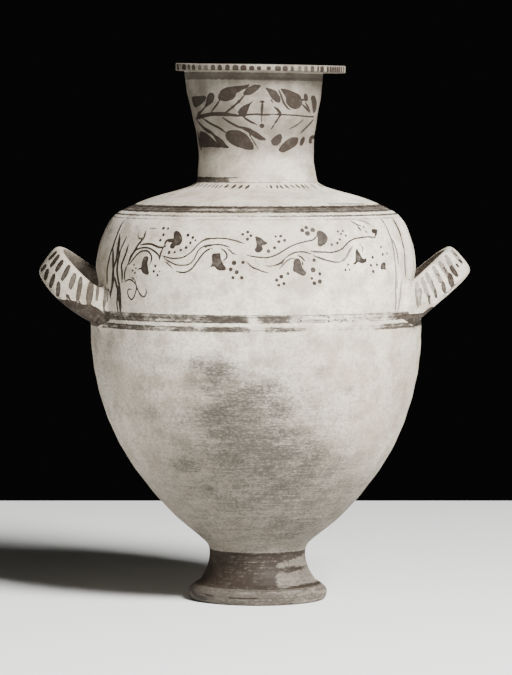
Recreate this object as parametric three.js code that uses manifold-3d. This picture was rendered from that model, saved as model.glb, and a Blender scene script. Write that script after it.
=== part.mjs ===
import * as THREE from 'three';
import { mergeVertices } from 'three/addons/utils/BufferGeometryUtils.js';
import Module from 'manifold-3d';

// A wheel-thrown water jar of fired clay, one piece: a hollow ring foot, an egg-shaped
// body, a low shoulder, a waisted neck under a flat lip, two canted side handles and one
// upright strap handle at the back. Millimetres, +Z up, standing on z = 0 with the
// painted front towards -Y.

const { clamp, degToRad, lerp, smoothstep } = THREE.MathUtils;
const at = (radius, height) => new THREE.Vector2(radius, height);

// Driving dimensions
const jarHeight = 420;
const wallThickness = 6.5;

const footContactRadius = 47;
const footContactWidth = 10;
const footEdgeRadius = 53.4;
const footEdgeHeight = 8;
const footStepRadius = 44.5;
const footStepHeight = 14.5;
const footHollowDepth = 24;
const stemRadius = 36.2;
const stemHeight = 31;

const bodyBottomRadius = 38.2;
const bodyBottomHeight = 42.5;
const floorHeight = 51;
const floorFlatRadius = 22;
const bellyRadius = 129.6;
const bellyHeight = 216;
const shoulderTurnRadius = 108.9;
const shoulderTurnHeight = 303.8;
const neckBaseRadius = 49.1;
const neckBaseHeight = 327.3;
const throatRadius = 45.3;
const throatHeight = 349;
const neckTopRadius = 54.4;

const lipRadius = 66.6;
const lipThickness = 6.3;
const lipRounding = 1.2;
const mouthRadius = 52;
const mouthRounding = 3.4;

// How far the hand-thrown wall wanders off the upright axis, along X, and the lip's tilt
const footDrift = 0.7;
const bellyDrift = -1.5;
const neckLean = -2.1;
const lipOffset = 3;
const lipTilt = degToRad(0.87);

// Handles. cant is the angle of a side handle above the horizontal, curl hollows its
// upper side, and backLift raises its rear root.
const sideStrap = { width: 26.5, thickness: 11 };
const sideRootRadius = 117.6;
const sideHandles = [
  { side: -1, cant: 36, curl: 3.2, backLift: 4.5, reach: 53, halfSpan: 51, rootHeight: 233.8 },
  { side: 1, cant: 40.5, curl: 0, backLift: 0, reach: 51, halfSpan: 51, rootHeight: 232.5 },
];
const backStrap = { width: 30, thickness: 10 };
const backRootHeight = 386;
const backReach = 101;
const backFootRadius = 90;
const backFootHeight = 305;
const rootDepth = 20;
const rootFlareAcross = 1.15;
const rootFlareThrough = 1.6;
const strapSquareness = 3.2;

// Facets
const turns = 48;
const strapSides = 12;
const strapSteps = 20;

const lipBottom = jarHeight - lipThickness;
const aboveMouth = jarHeight + 5;
const belowFoot = -5;

const wasm = await Module();
wasm.setup();

// A closed three.js geometry as a solid that can be joined and cut
function toSolid(geometry) {
  const bare = geometry.index ? geometry.toNonIndexed() : geometry.clone();
  bare.deleteAttribute('normal');
  bare.deleteAttribute('uv');
  const welded = mergeVertices(bare, 1e-4);
  const mesh = new wasm.Mesh({
    numProp: 3,
    vertProperties: new Float32Array(welded.attributes.position.array),
    triVerts: new Uint32Array(welded.index.array),
  });
  return new wasm.Manifold(mesh);
}

// And back again
function toGeometry(solid) {
  const mesh = solid.getMesh();
  const geometry = new THREE.BufferGeometry();
  geometry.setAttribute('position', new THREE.BufferAttribute(mesh.vertProperties, 3));
  geometry.setIndex(new THREE.BufferAttribute(mesh.triVerts, 1));
  geometry.computeVertexNormals();
  return geometry;
}

// Sideways drift of the wall at a height
function driftAt(z) {
  const belly = Math.sin(Math.PI * clamp((z - floorHeight) / (shoulderTurnHeight - floorHeight), 0, 1));
  const foot = 1 - smoothstep(z, stemHeight, 4 * stemHeight);
  const neck = smoothstep(z, throatHeight, lipBottom);
  return footDrift * foot + bellyDrift * belly + neckLean * neck;
}

// A profile of (radius, height) points turned about the upright axis, with the drift of
// the wall and the tilt that the upper neck takes on. Points above lipFrom belong to the
// lip, which sits off the neck's centre.
function turned(profile, lipFrom = Infinity) {
  const geometry = new THREE.LatheGeometry(profile, turns, Math.PI / turns);
  geometry.rotateX(Math.PI / 2);
  const place = geometry.attributes.position;
  for (let i = 0; i < place.count; i += 1) {
    const z = place.getZ(i);
    const x = place.getX(i) + (z > lipFrom ? lipOffset : driftAt(z));
    const tilt = lipTilt * smoothstep(z, throatHeight, lipBottom);
    place.setXYZ(i, x, place.getY(i), z - x * Math.tan(tilt));
  }
  return toSolid(geometry);
}

// Points along a bend, without its start, which the outline before it already has
function bend(start, startPull, endPull, end, steps) {
  return new THREE.CubicBezierCurve(start, startPull, endPull, end).getPoints(steps).slice(1);
}

// Foot: a flat standing ring, a rounded edge, a small step and a flared stem
const footStep = at(footStepRadius, footStepHeight);
const stemFlare = at(footStepRadius - 0.8, footStepHeight + 1.2);
const stem = at(stemRadius, stemHeight);
const footOutside = [
  at(0, 0),
  at(footContactRadius, 0),
  at(footContactRadius + 4, 1.6),
  at(footEdgeRadius - 0.3, footEdgeHeight - 3),
  at(footEdgeRadius, footEdgeHeight),
  at(footEdgeRadius - 1.6, footEdgeHeight + 2.6),
  at(footStepRadius + 2.5, footStepHeight - 0.6),
  footStep,
  stemFlare,
  ...bend(stemFlare, at(40, 20), at(36.6, 24), stem, 4),
];

// Outside of the body, shoulder and neck
const bodyBottom = at(bodyBottomRadius, bodyBottomHeight);
const belly = at(bellyRadius, bellyHeight);
const shoulderTurn = at(shoulderTurnRadius, shoulderTurnHeight);
const neckBase = at(neckBaseRadius, neckBaseHeight);
const throat = at(throatRadius, throatHeight);
const neckTop = at(neckTopRadius, lipBottom);
const wallOutside = [
  bodyBottom,
  ...bend(bodyBottom, at(42.4, 52.6), at(bellyRadius, 100), belly, 13),
  ...bend(belly, at(bellyRadius, 256.5), at(124.5, 292), shoulderTurn, 7),
  ...bend(shoulderTurn, at(79, 320.5), at(61.5, 318.7), neckBase, 6),
  ...bend(neckBase, at(46.3, 331), at(throatRadius, 339), throat, 3),
  ...bend(throat, at(throatRadius, 371), at(53.5, 390), neckTop, 6),
];

// Flat lip that stands out past the neck
const lipOutside = [
  at(lipRadius - lipRounding, lipBottom + 0.2),
  at(lipRadius, lipBottom + lipRounding),
  at(lipRadius, jarHeight - lipRounding),
  at(lipRadius - lipRounding, jarHeight),
  at(0, jarHeight),
];

// Every second point of an outline, moved in by a thickness
function inset(points, thickness) {
  const moved = [];
  for (let i = 1; i < points.length - 1; i += 2) {
    const along = points[i + 1].clone().sub(points[i - 1]).normalize();
    moved.push(at(points[i].x - along.y * thickness, points[i].y + along.x * thickness));
  }
  return moved;
}

// Inside of the vessel, open at the mouth
const wallInside = inset(wallOutside, wallThickness)
  .filter((point) => point.y > floorHeight + 4 && point.y < lipBottom - 4);
const cavity = [
  at(0, floorHeight),
  at(floorFlatRadius, floorHeight + 2.2),
  ...wallInside,
  at(neckTopRadius - wallThickness, lipBottom - 1),
  at(mouthRadius - 2.2, jarHeight - mouthRounding),
  at(mouthRadius, jarHeight),
  at(mouthRadius, aboveMouth),
  at(0, aboveMouth),
];

// Hollow under the foot
const hollowRadius = footContactRadius - footContactWidth;
const hollowMouth = at(hollowRadius, belowFoot);
const hollowTop = at(0, footHollowDepth);
const footHollow = [
  at(0, belowFoot),
  hollowMouth,
  at(hollowRadius, 0),
  ...bend(at(hollowRadius, 0), at(33, 14), at(24, footHollowDepth), hollowTop, 5),
];

// A strap of softened rectangular section swept along a path. widthWay is the way its
// broad face runs across. atRoot says how much of the roots' flare the strap has at t.
function strap(pathAt, widthWay, section, atRoot) {
  const soften = (value) => Math.sign(value) * Math.abs(value) ** (2 / strapSquareness);
  const positions = [];
  const index = [];
  for (let step = 0; step <= strapSteps; step += 1) {
    const t = step / strapSteps;
    const centre = pathAt(t);
    const tangent = pathAt(Math.min(t + 0.01, 1)).sub(pathAt(Math.max(t - 0.01, 0))).normalize();
    const across = widthWay.clone().addScaledVector(tangent, -widthWay.dot(tangent)).normalize();
    const through = new THREE.Vector3().crossVectors(tangent, across);
    across.multiplyScalar(section.width / 2 * lerp(1, rootFlareAcross, atRoot(t)));
    through.multiplyScalar(section.thickness / 2 * lerp(1, rootFlareThrough, atRoot(t)));
    for (let side = 0; side < strapSides; side += 1) {
      const angle = 2 * Math.PI * side / strapSides;
      const corner = centre.clone()
        .addScaledVector(across, soften(Math.cos(angle)))
        .addScaledVector(through, soften(Math.sin(angle)));
      positions.push(...corner);
    }
  }
  for (let step = 0; step < strapSteps; step += 1) {
    for (let side = 0; side < strapSides; side += 1) {
      const a = step * strapSides + side;
      const b = step * strapSides + (side + 1) % strapSides;
      index.push(a, b, b + strapSides, a, b + strapSides, a + strapSides);
    }
  }
  const last = strapSteps * strapSides;
  for (let side = 1; side < strapSides - 1; side += 1) {
    index.push(0, side + 1, side);
    index.push(last, last + side, last + side + 1);
  }
  const geometry = new THREE.BufferGeometry();
  geometry.setAttribute('position', new THREE.Float32BufferAttribute(positions, 3));
  geometry.setIndex(index);
  return toSolid(geometry);
}

// Side handle: half an oval in a plane canted upwards, its two roots set in the belly
function sideHandle({ side, cant, curl, backLift, reach, halfSpan, rootHeight }) {
  const slope = degToRad(cant);
  const rootShare = 0.16;
  const pathAt = (t) => {
    const inner = Math.min(t, 1 - t);
    const swing = Math.PI * clamp((t - rootShare) / (1 - 2 * rootShare), 0, 1);
    const sunk = rootDepth * Math.max(rootShare - inner, 0) / rootShare;
    const out = reach * Math.sin(swing) - sunk;
    const hollow = 4 * curl * ((out / reach) ** 2 - Math.abs(out / reach));
    const across = -halfSpan * Math.cos(swing);
    return new THREE.Vector3(
      side * (sideRootRadius + out * Math.cos(slope)),
      across,
      rootHeight + out * Math.sin(slope) + hollow + backLift * across / halfSpan,
    );
  };
  const widthWay = new THREE.Vector3(-side * Math.sin(slope), 0, Math.cos(slope));
  const atRoot = (t) => 1 - smoothstep(Math.min(t, 1 - t), 0.12, 0.26);
  return strap(pathAt, widthWay, sideStrap, atRoot);
}

// Back handle: out from under the lip and down to the shoulder
function backHandle() {
  const curve = new THREE.CubicBezierCurve3(
    new THREE.Vector3(0, neckTopRadius - wallThickness, backRootHeight),
    new THREE.Vector3(0, backReach - 5, backRootHeight + 12),
    new THREE.Vector3(0, backReach, backRootHeight - 30),
    new THREE.Vector3(0, backFootRadius, backFootHeight),
  );
  const atRoot = (t) => 1 - smoothstep(Math.min(t, 1 - t), 0.05, 0.2);
  return strap((t) => curve.getPoint(t), new THREE.Vector3(1, 0, 0), backStrap, atRoot);
}

let jar = turned([...footOutside, ...wallOutside, ...lipOutside], lipBottom);
for (const handle of sideHandles) {
  jar = jar.add(sideHandle(handle));
}
jar = jar.add(backHandle());
jar = jar.subtract(turned(cavity));
jar = jar.subtract(turned(footHollow));

const clay = new THREE.MeshStandardMaterial({ color: 0xcfc3ac, roughness: 0.8, metalness: 0 });
const hydria = new THREE.Mesh(toGeometry(jar), clay);
hydria.name = 'hydria';

const group = new THREE.Group();
group.add(hydria);

export default group;
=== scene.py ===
import math
import random

import bmesh
import bpy
import numpy as np
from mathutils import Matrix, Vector
from mathutils.geometry import delaunay_2d_cdt


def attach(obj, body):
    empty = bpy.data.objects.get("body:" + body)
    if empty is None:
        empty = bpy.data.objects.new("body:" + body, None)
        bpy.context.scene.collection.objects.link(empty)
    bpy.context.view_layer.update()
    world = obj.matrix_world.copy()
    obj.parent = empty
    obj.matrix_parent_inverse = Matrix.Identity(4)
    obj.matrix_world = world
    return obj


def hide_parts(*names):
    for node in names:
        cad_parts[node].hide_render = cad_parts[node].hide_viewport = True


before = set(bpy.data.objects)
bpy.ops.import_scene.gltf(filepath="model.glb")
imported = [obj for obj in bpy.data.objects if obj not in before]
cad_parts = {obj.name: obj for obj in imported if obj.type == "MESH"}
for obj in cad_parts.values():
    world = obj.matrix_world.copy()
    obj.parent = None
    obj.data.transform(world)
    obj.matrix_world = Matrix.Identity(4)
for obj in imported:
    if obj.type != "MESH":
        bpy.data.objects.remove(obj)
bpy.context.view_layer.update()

# The wall of the jar: buff clay thrown on the wheel, hollow and open at the mouth, fired
# as one piece with its foot, neck and lip. It is drawn as its half outline, radius and
# height in millimetres: up the hollow under the foot, up the outside, down the inside.
WALL = 6.5
HEIGHT = 420.0
LIP_BOTTOM = HEIGHT - 6.3
LIP_RADIUS = 66.6
MOUTH_RADIUS = 52.0
THROAT_HEIGHT = 349.0
FLOOR_HEIGHT = 51.0
SHOULDER_HEIGHT = 303.8

def bend(start, pull_a, pull_b, end, step=0.6):
    """Points of a smooth bend after its start."""
    a, b, c, d = (np.array(p, float) for p in (start, pull_a, pull_b, end))
    count = max(4, int((np.linalg.norm(b - a) + np.linalg.norm(c - b) + np.linalg.norm(d - c)) / step))
    t = np.linspace(0, 1, count + 1)[1:, None]
    return list((1 - t) ** 3 * a + 3 * (1 - t) ** 2 * t * b + 3 * (1 - t) * t * t * c + t ** 3 * d)


def corner(before, at, after, cut):
    """A sharp corner eased off over a short length either side."""
    before, at, after = (np.array(p, float) for p in (before, at, after))
    start = at + (before - at) / np.linalg.norm(before - at) * cut
    end = at + (after - at) / np.linalg.norm(after - at) * cut
    return [start] + bend(start, start * 0.45 + at * 0.55, end * 0.45 + at * 0.55, end, 0.2)


hollow_top, ring_inside, ring_outside = (0.5, 24), (37, 0), (50.6, 0)
foot_edge, foot_step, stem_top, body_bottom = (54.4, 6.4), (46.2, 14.4), (37.8, 34), (38.3, 42.5)
belly, shoulder_turn, neck_base = (129.6, 216), (108.9, SHOULDER_HEIGHT), (49.1, 327.3)
throat, neck_top = (45.3, THROAT_HEIGHT), (54.4, LIP_BOTTOM)

outside = bend(ring_outside, (53.2, 0.2), (54.3, 2.6), foot_edge, 0.3)
outside += bend(foot_edge, (54.5, 9.0), (50.8, 11.8), foot_step, 0.3)
outside += bend(foot_step, (45.4, 14.8), (44.9, 15.6), (44.5, 16.6), 0.2)
outside += bend((44.5, 16.6), (42.0, 20.2), (38.6, 25.5), stem_top)
outside += bend(stem_top, (37.5, 37), (37.7, 39.7), body_bottom)
outside += bend(body_bottom, (42.4, 52.6), (129.6, 100), belly)
outside += bend(belly, (129.6, 256.5), (124.5, 292), shoulder_turn)
outside += bend(shoulder_turn, (79, 320.5), (61.5, 318.7), neck_base)
outside += bend(neck_base, (46.3, 331), (45.3, 339), throat)
outside += bend(throat, (45.3, 371), (53.5, 390), neck_top)
outside = np.array([ring_outside] + outside)


def swell(amount, height, reach):
    """A soft departure of the thrown outline from its clean curve, round one height."""
    return amount * np.exp(-((outside[:, 1] - height) / reach) ** 2)


outside[:, 0] += swell(1.9, 65, 19)
outside[:, 0] += swell(1.0, 108, 32) - swell(1.1, 252, 34)
outside[:, 0] -= swell(1.2, 325, 7)


def offset_in(points, depth):
    """An outline moved in by the wall's thickness."""
    along = np.gradient(points, axis=0)
    along /= np.linalg.norm(along, axis=1)[:, None]
    return points + depth * np.stack([-along[:, 1], along[:, 0]], axis=1)


inside = offset_in(outside, WALL)
inside = inside[(inside[:, 1] > FLOOR_HEIGHT + 5) & (inside[:, 1] < LIP_BOTTOM - 3)][::4]
under_foot = [np.array(hollow_top)] + bend(hollow_top, (24, 24), (33, 14), (36.2, 3.2), 2.0)
under_foot += corner((36.4, 2.6), ring_inside, ring_outside, 1.6)
lip = corner((54.2, 411), (54.4, LIP_BOTTOM), (60, LIP_BOTTOM), 1.4)
lip += corner((60, LIP_BOTTOM), (LIP_RADIUS, LIP_BOTTOM), (LIP_RADIUS, HEIGHT), 0.9)
lip += corner((LIP_RADIUS, LIP_BOTTOM), (LIP_RADIUS, HEIGHT), (60, HEIGHT), 0.9)
lip += corner((60, HEIGHT), (MOUTH_RADIUS, HEIGHT), (48.2, 413), 2.6)
down_inside = list(inside[::-1]) + bend(inside[0], (26, 55.5), (23, 52.6), (16, 51.4), 2.0)
down_inside += [np.array((0.5, FLOOR_HEIGHT))]
profile = np.array(under_foot + list(outside[2:-3]) + lip + down_inside)
lengths = np.concatenate([[0], np.cumsum(np.linalg.norm(np.diff(profile, axis=0), axis=1))])
lip_start = len(under_foot) + len(outside) - 5
start_outside = lengths[len(under_foot)]
lip_outer = [lengths[lip_start + int(len(lip) * part)] for part in (0.02, 0.25, 0.75, 0.98)]
total_length = lengths[-1]


def radius_at(s):
    return np.interp(s, lengths, profile[:, 0])


def height_at(s):
    return np.interp(s, lengths, profile[:, 1])


def smooth(x, low, high):
    """A soft step from 0 at low to 1 at high."""
    t = np.clip((x - low) / (high - low), 0, 1)
    return t * t * (3 - 2 * t)


def drift_at(z):
    """How far the thrown wall wanders sideways."""
    heights = [0, 40, 62, 100, 160, 216, 262, 304, 327, 340, 354, 385, 414]
    sideways_there = [0.7, 0.8, 1.5, 0.5, -0.4, -0.6, -0.8, 0, 0, -0.9, -1.2, -1.6, -2.1]
    return sum(np.interp(z + shift, heights, sideways_there) for shift in (-8, -4, 0, 4, 8)) / 5


def wobble(turn, z):
    """The small unevenness of a wall shaped by hand, and the marks of the wheel."""
    wave = 0.30 * np.sin(2 * turn + z / 47) + 0.22 * np.sin(3 * turn - z / 31 + 1.3)
    wave += 0.16 * np.sin(5 * turn + z / 19 + 0.5) + 0.10 * np.sin(9 * turn - z / 14)
    wheel_marks = 0.16 * np.sin(z / 3.1 + 0.6 * np.sin(turn))
    return wave + wheel_marks * smooth(z, 36, 60) * (1 - smooth(z, 400, 412))


# The mouth is a little lower on the right, and the disc of the lip sits off centre
TILT = math.tan(math.radians(0.87))
LIP_SHIFT = 5.1
LIP_CENTRE = 3.0


def on_wall(turn, s):
    """The place on the wall at a turn from the front and a length along the outline."""
    turn, s = np.asarray(turn, float), np.asarray(s, float)
    r, z = radius_at(s), height_at(s)
    on_lip = smooth(s, lip_outer[0], lip_outer[1]) * (1 - smooth(s, lip_outer[2], lip_outer[3]))
    thrown = wobble(turn, z) * smooth(r, 4, 30) * (1 - 0.5 * on_lip)
    # pressed in by the potter's fingers between the roots of the side handles
    thrown = thrown - 5.5 * np.exp(-((np.abs(turn) - 1.54) / 0.2) ** 2) * np.exp(-((z - 247) / 10) ** 2)
    x = drift_at(z) + LIP_SHIFT * on_lip + (r + thrown) * np.sin(turn)
    y = -(r + thrown) * np.cos(turn)
    z = z - x * TILT * smooth(z, THROAT_HEIGHT, LIP_BOTTOM)
    z = z + np.where(r > 50, 0.12 * np.sin(3 * turn + 1) * on_lip, 0)
    z = z - (0.5 + 0.9 * np.maximum(np.cos(turn), 0)) * smooth(z, LIP_BOTTOM + 1, HEIGHT - 1)
    return np.stack([x, y, z], axis=-1)


# The painter's view. The decoration is laid out as it is seen from the front: picture
# columns and rows on a sheet 512 wide and 675 high, at the eye's distance, carried on to
# the wall along the line of sight.
EYE = np.array([-0.7, -3053.7, 370.4])
LOOK_DOWN = math.atan2(210.5, 3900)
REACH = 3900 * math.cos(LOOK_DOWN)
MIDDLE_COLUMN = 256.0
MIDDLE_ROW = 337.5
outer_z = np.concatenate([outside[:, 1], [LIP_BOTTOM + 0.01, HEIGHT]])
outer_r = np.concatenate([outside[:, 0], [LIP_RADIUS, LIP_RADIUS]])
front_s = np.linspace(start_outside, lip_outer[2], 4000)
front_z = np.maximum.accumulate(height_at(front_s) + np.arange(4000) * 1e-7)


def upright(p):
    """Height and sideways centre of the untilted outline at points in space."""
    z = p[..., 2] + p[..., 0] * TILT * smooth(p[..., 2], THROAT_HEIGHT, LIP_BOTTOM)
    return z, np.where(z > LIP_BOTTOM, LIP_CENTRE, drift_at(z))


def off_wall(p):
    """How far a point stands off the outside of the wall."""
    z, centre = upright(p)
    return np.hypot(p[..., 0] - centre, p[..., 1]) - np.interp(z, outer_z, outer_r)


def wall_place(p):
    """Turn and outline length of points that lie on the outside of the wall."""
    z, centre = upright(p)
    return np.stack([np.arctan2(p[..., 0] - centre, -p[..., 1]), np.interp(z, front_z, front_s)], axis=-1)


def seen(points):
    """Picture columns and rows to turns and outline lengths on the wall."""
    points = np.atleast_2d(np.array(points, float))
    side, up = (points[:, 0] - MIDDLE_COLUMN) / REACH, (MIDDLE_ROW - points[:, 1]) / REACH
    forward = math.cos(LOOK_DOWN) + up * math.sin(LOOK_DOWN)
    ahead = np.stack([side, forward, up * math.cos(LOOK_DOWN) - math.sin(LOOK_DOWN)], axis=1)
    far = np.linspace(2890, 3090, 500)
    ray = EYE + ahead[:, None, :] * far[None, :, None]
    inside_wall = off_wall(ray) < 0
    nearest = np.abs(off_wall(ray)).argmin(axis=1)
    first = np.where(inside_wall.any(axis=1), inside_wall.argmax(axis=1), nearest)
    low, high = far[np.maximum(first - 1, 0)], far[first]
    for _ in range(18):
        middle = (low + high) / 2
        hit = off_wall(EYE + ahead * middle[:, None]) < 0
        high, low = np.where(hit, middle, high), np.where(hit, low, middle)
    return wall_place(EYE + ahead * high[:, None])


def picture(p):
    """Where a place in space is seen in the picture."""
    d = p - EYE
    ahead = d[..., 1] * math.cos(LOOK_DOWN) - d[..., 2] * math.sin(LOOK_DOWN)
    up = d[..., 1] * math.sin(LOOK_DOWN) + d[..., 2] * math.cos(LOOK_DOWN)
    return np.stack([MIDDLE_COLUMN + REACH * d[..., 0] / ahead, MIDDLE_ROW - REACH * up / ahead], axis=-1)


SEAM = math.radians(148)


def wrapped(turn):
    """A turn counted on from the seam, which runs down the back beside the upright handle."""
    return (turn + 2 * math.pi - SEAM) % (2 * math.pi) - 2 * math.pi + SEAM


# The painted decoration: thin brown slip brushed on the jar before firing, with no relief.
# Each stroke is kept as short straight pieces, a filled outline or a dot, with a strength
# from faint to full, and gives the points that the wall needs to show its edge sharp.
lines, leaves, spots, stroke_points = [], [], [], []


def through(points, closed=False, step=1.0):
    """A smooth curve through given points, evenly sampled."""
    p = np.array(points, float)
    if closed:
        p = np.concatenate([p[-1:], p, p[:2]])
    else:
        p = np.concatenate([2 * p[:1] - p[1:2], p, 2 * p[-1:] - p[-2:-1]])
    out = []
    for a, b, c, d in zip(p[:-3], p[1:-2], p[2:-1], p[3:]):
        count = max(1, int(np.linalg.norm(c - b) / 0.3))
        t = np.arange(count)[:, None] / count
        bow, twist = 2 * a - 5 * b + 4 * c - d, 3 * b - a - 3 * c + d
        out.append(0.5 * (2 * b + (c - a) * t + bow * t * t + twist * t ** 3))
    out.append(p[1:2] if closed else p[-2:-1])
    out = np.concatenate(out)
    far = np.concatenate([[0], np.cumsum(np.linalg.norm(np.diff(out, axis=0), axis=1))])
    even = np.linspace(0, far[-1], max(3, int(far[-1] / step) + 1))
    return np.stack([np.interp(even, far, out[:, 0]), np.interp(even, far, out[:, 1])], axis=1)


def sideways(p, closed=False):
    """Directions square to a curve."""
    along = np.roll(p, -1, axis=0) - np.roll(p, 1, axis=0) if closed else np.gradient(p, axis=0)
    along /= np.maximum(np.linalg.norm(along, axis=1)[:, None], 1e-6)
    return np.stack([-along[:, 1], along[:, 0]], axis=1)


def keep_points(p, r, order):
    """Points that the wall's mesh must have; those of order 0 are placed first."""
    for a, b in p:
        stroke_points.append((a / r, b, order))


def draw_line(places, width, tone, step=1.1):
    """A brush stroke with narrowed ends."""
    places = places + (wrapped(places[:, 0].mean()) - places[:, 0].mean(), 0)
    r = float(radius_at(places[:, 1].mean()))
    p = through(places * (r, 1), step=step)
    far = np.concatenate([[0], np.cumsum(np.linalg.norm(np.diff(p, axis=0), axis=1))])
    end = np.minimum(far, far[-1] - far)
    half = width / 2 * (0.5 + 0.5 * smooth(end, 0, min(4.0, far[-1] / 2)))
    lines.append((r, p, half, tone))
    side = sideways(p)
    keep_points(p, r, 0)
    for way in (-1, 1):
        keep_points(p + way * side * half[:, None], r, 0)
        keep_points(p + way * side * (half + 0.55)[:, None], r, 1)


def draw_leaf(places, tone):
    """A filled outline."""
    r = float(radius_at(places[:, 1].mean()))
    p = through(places * (r, 1), closed=True)[:-1]
    leaves.append((r, p, tone))
    side = sideways(p, closed=True)
    keep_points(p, r, 0)
    for away in (-0.5, 0.5):
        keep_points(p + away * side, r, 1)


def draw_dot(place, radius, tone):
    """A round touch of the brush."""
    r = float(radius_at(place[1]))
    centre = np.array([place[0] * r, place[1]])
    spots.append((r, centre, radius, tone))
    ring = np.linspace(0, 2 * math.pi, 9)[:-1]
    round_it = np.stack([np.cos(ring), np.sin(ring)], axis=1)
    keep_points([centre], r, 0)
    keep_points(centre + radius * round_it, r, 0)
    keep_points(centre + (radius + 0.5) * round_it, r, 1)


# Two rows of leaves with stems on the neck, and the vine with leaves, berries and, at its
# left end, grass on the shoulder, as they are seen in the picture. A leaf is its strength
# and outline, a line its width, strength and course, a dot its column, row and radius.
neck_leaves = [
    (0.75, [(191.6, 99), (192.5, 96.5), (198.3, 96.1), (204, 95.6), (206.2, 97.7), (204, 101.6),
        (199.5, 105.4), (195.1, 107.6), (192.9, 105.4)]),
    (0.6, [(204, 107.9), (205.3, 103.5), (206.6, 97.7), (209.1, 93.3), (212.9, 93), (214.6, 95.8),
        (213.6, 100.3), (210.4, 104.1)]),
    (0.6, [(218.4, 99), (219.9, 92), (225.1, 87.9), (234, 86.2), (244.2, 85.4), (249.3, 84.1), (248, 86.9),
        (241.6, 90.7), (236.8, 93.3), (235.3, 97.1), (231.4, 99.9), (225.1, 101.2)]),
    (0.75, [(243.5, 94.5), (244.8, 90.7), (249.3, 86.9), (254.4, 84.6), (260.8, 85.4), (258.9, 88.8),
        (254.4, 92.6), (249.3, 95.2)]),
    (0.7, [(265.2, 87.5), (271, 88.8), (275.4, 90.7), (278.6, 94.5), (280.5, 99.6), (279.3, 102.8),
        (275.4, 101.6), (271, 97.7), (268.2, 92.6)]),
    (0.55, [(280.5, 88.8), (286.3, 89.2), (292.7, 91.4), (299, 94.5), (301.8, 99), (302.2, 104.1),
        (299.7, 107.9), (295.2, 109.2), (290.1, 107.3), (286.3, 102.8), (285.6, 97.7), (283.1, 93.3)]),
    (0.8, [(304.1, 94.5), (306.7, 93.9), (308.2, 97.1), (307.7, 100.9), (304.8, 100.7)]),
    (0.8, [(311.1, 97.1), (314.3, 95.6), (316.2, 99), (317.1, 106), (316.2, 111.1), (313.7, 113),
        (312.4, 106)]),
    (0.65, [(198.9, 133.1), (202.1, 131.3), (207.2, 134.1), (212.3, 138.5), (217.4, 143), (220.6, 147.5),
        (211, 147.1), (200.6, 146.2)]),
    (0.55, [(210.4, 132.2), (216.1, 135.4), (222.5, 139.8), (226.3, 144.3), (229.5, 147.9), (222.5, 147.5),
        (218.9, 143), (214.8, 136.6)]),
    (0.65, [(225.3, 134.7), (227.6, 131.1), (234, 130), (240.4, 130.9), (246.7, 134.7), (250.6, 139.8),
        (253.8, 146.2), (253.1, 149.6), (246.7, 149.6), (239.1, 147.5), (232.1, 144.3), (227, 139.4)]),
    (0.9, [(242.3, 128.6), (249.3, 129.2), (255.7, 132.8), (262, 136), (265.9, 139.2), (264, 140.7),
        (258.9, 139.8), (253.1, 136.6), (248, 132.6)]),
    (0.65, [(270.7, 141.1), (272.9, 137.9), (277.3, 134.7), (280.9, 134.1), (282.2, 137.3), (280.5, 142.4),
        (276.1, 145.8), (272.2, 144.9)]),
    (0.5, [(278.4, 150), (280.5, 146.2), (286.3, 140.5), (292.7, 137.3), (298.4, 137.9), (298.4, 142.4),
        (295.2, 146.2), (288.8, 150), (282.4, 152.6)]),
    (0.7, [(299.7, 144.9), (300.9, 139.8), (304.1, 136.4), (305.4, 138.5), (304.1, 143), (301.8, 145.8)]),
    (0.75, [(309.2, 143), (309.9, 137.9), (312.4, 135.4), (315.4, 135.6), (314.6, 138.5), (312.6, 139.4),
        (312, 143.3)]),
    (0.9, [(253.8, 99.9), (249.3, 103.2), (242.9, 106), (239.1, 109.8), (238.1, 113), (241.6, 116.5),
        (245.7, 116.2), (248, 110.5), (250.3, 105)]),
]
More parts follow.
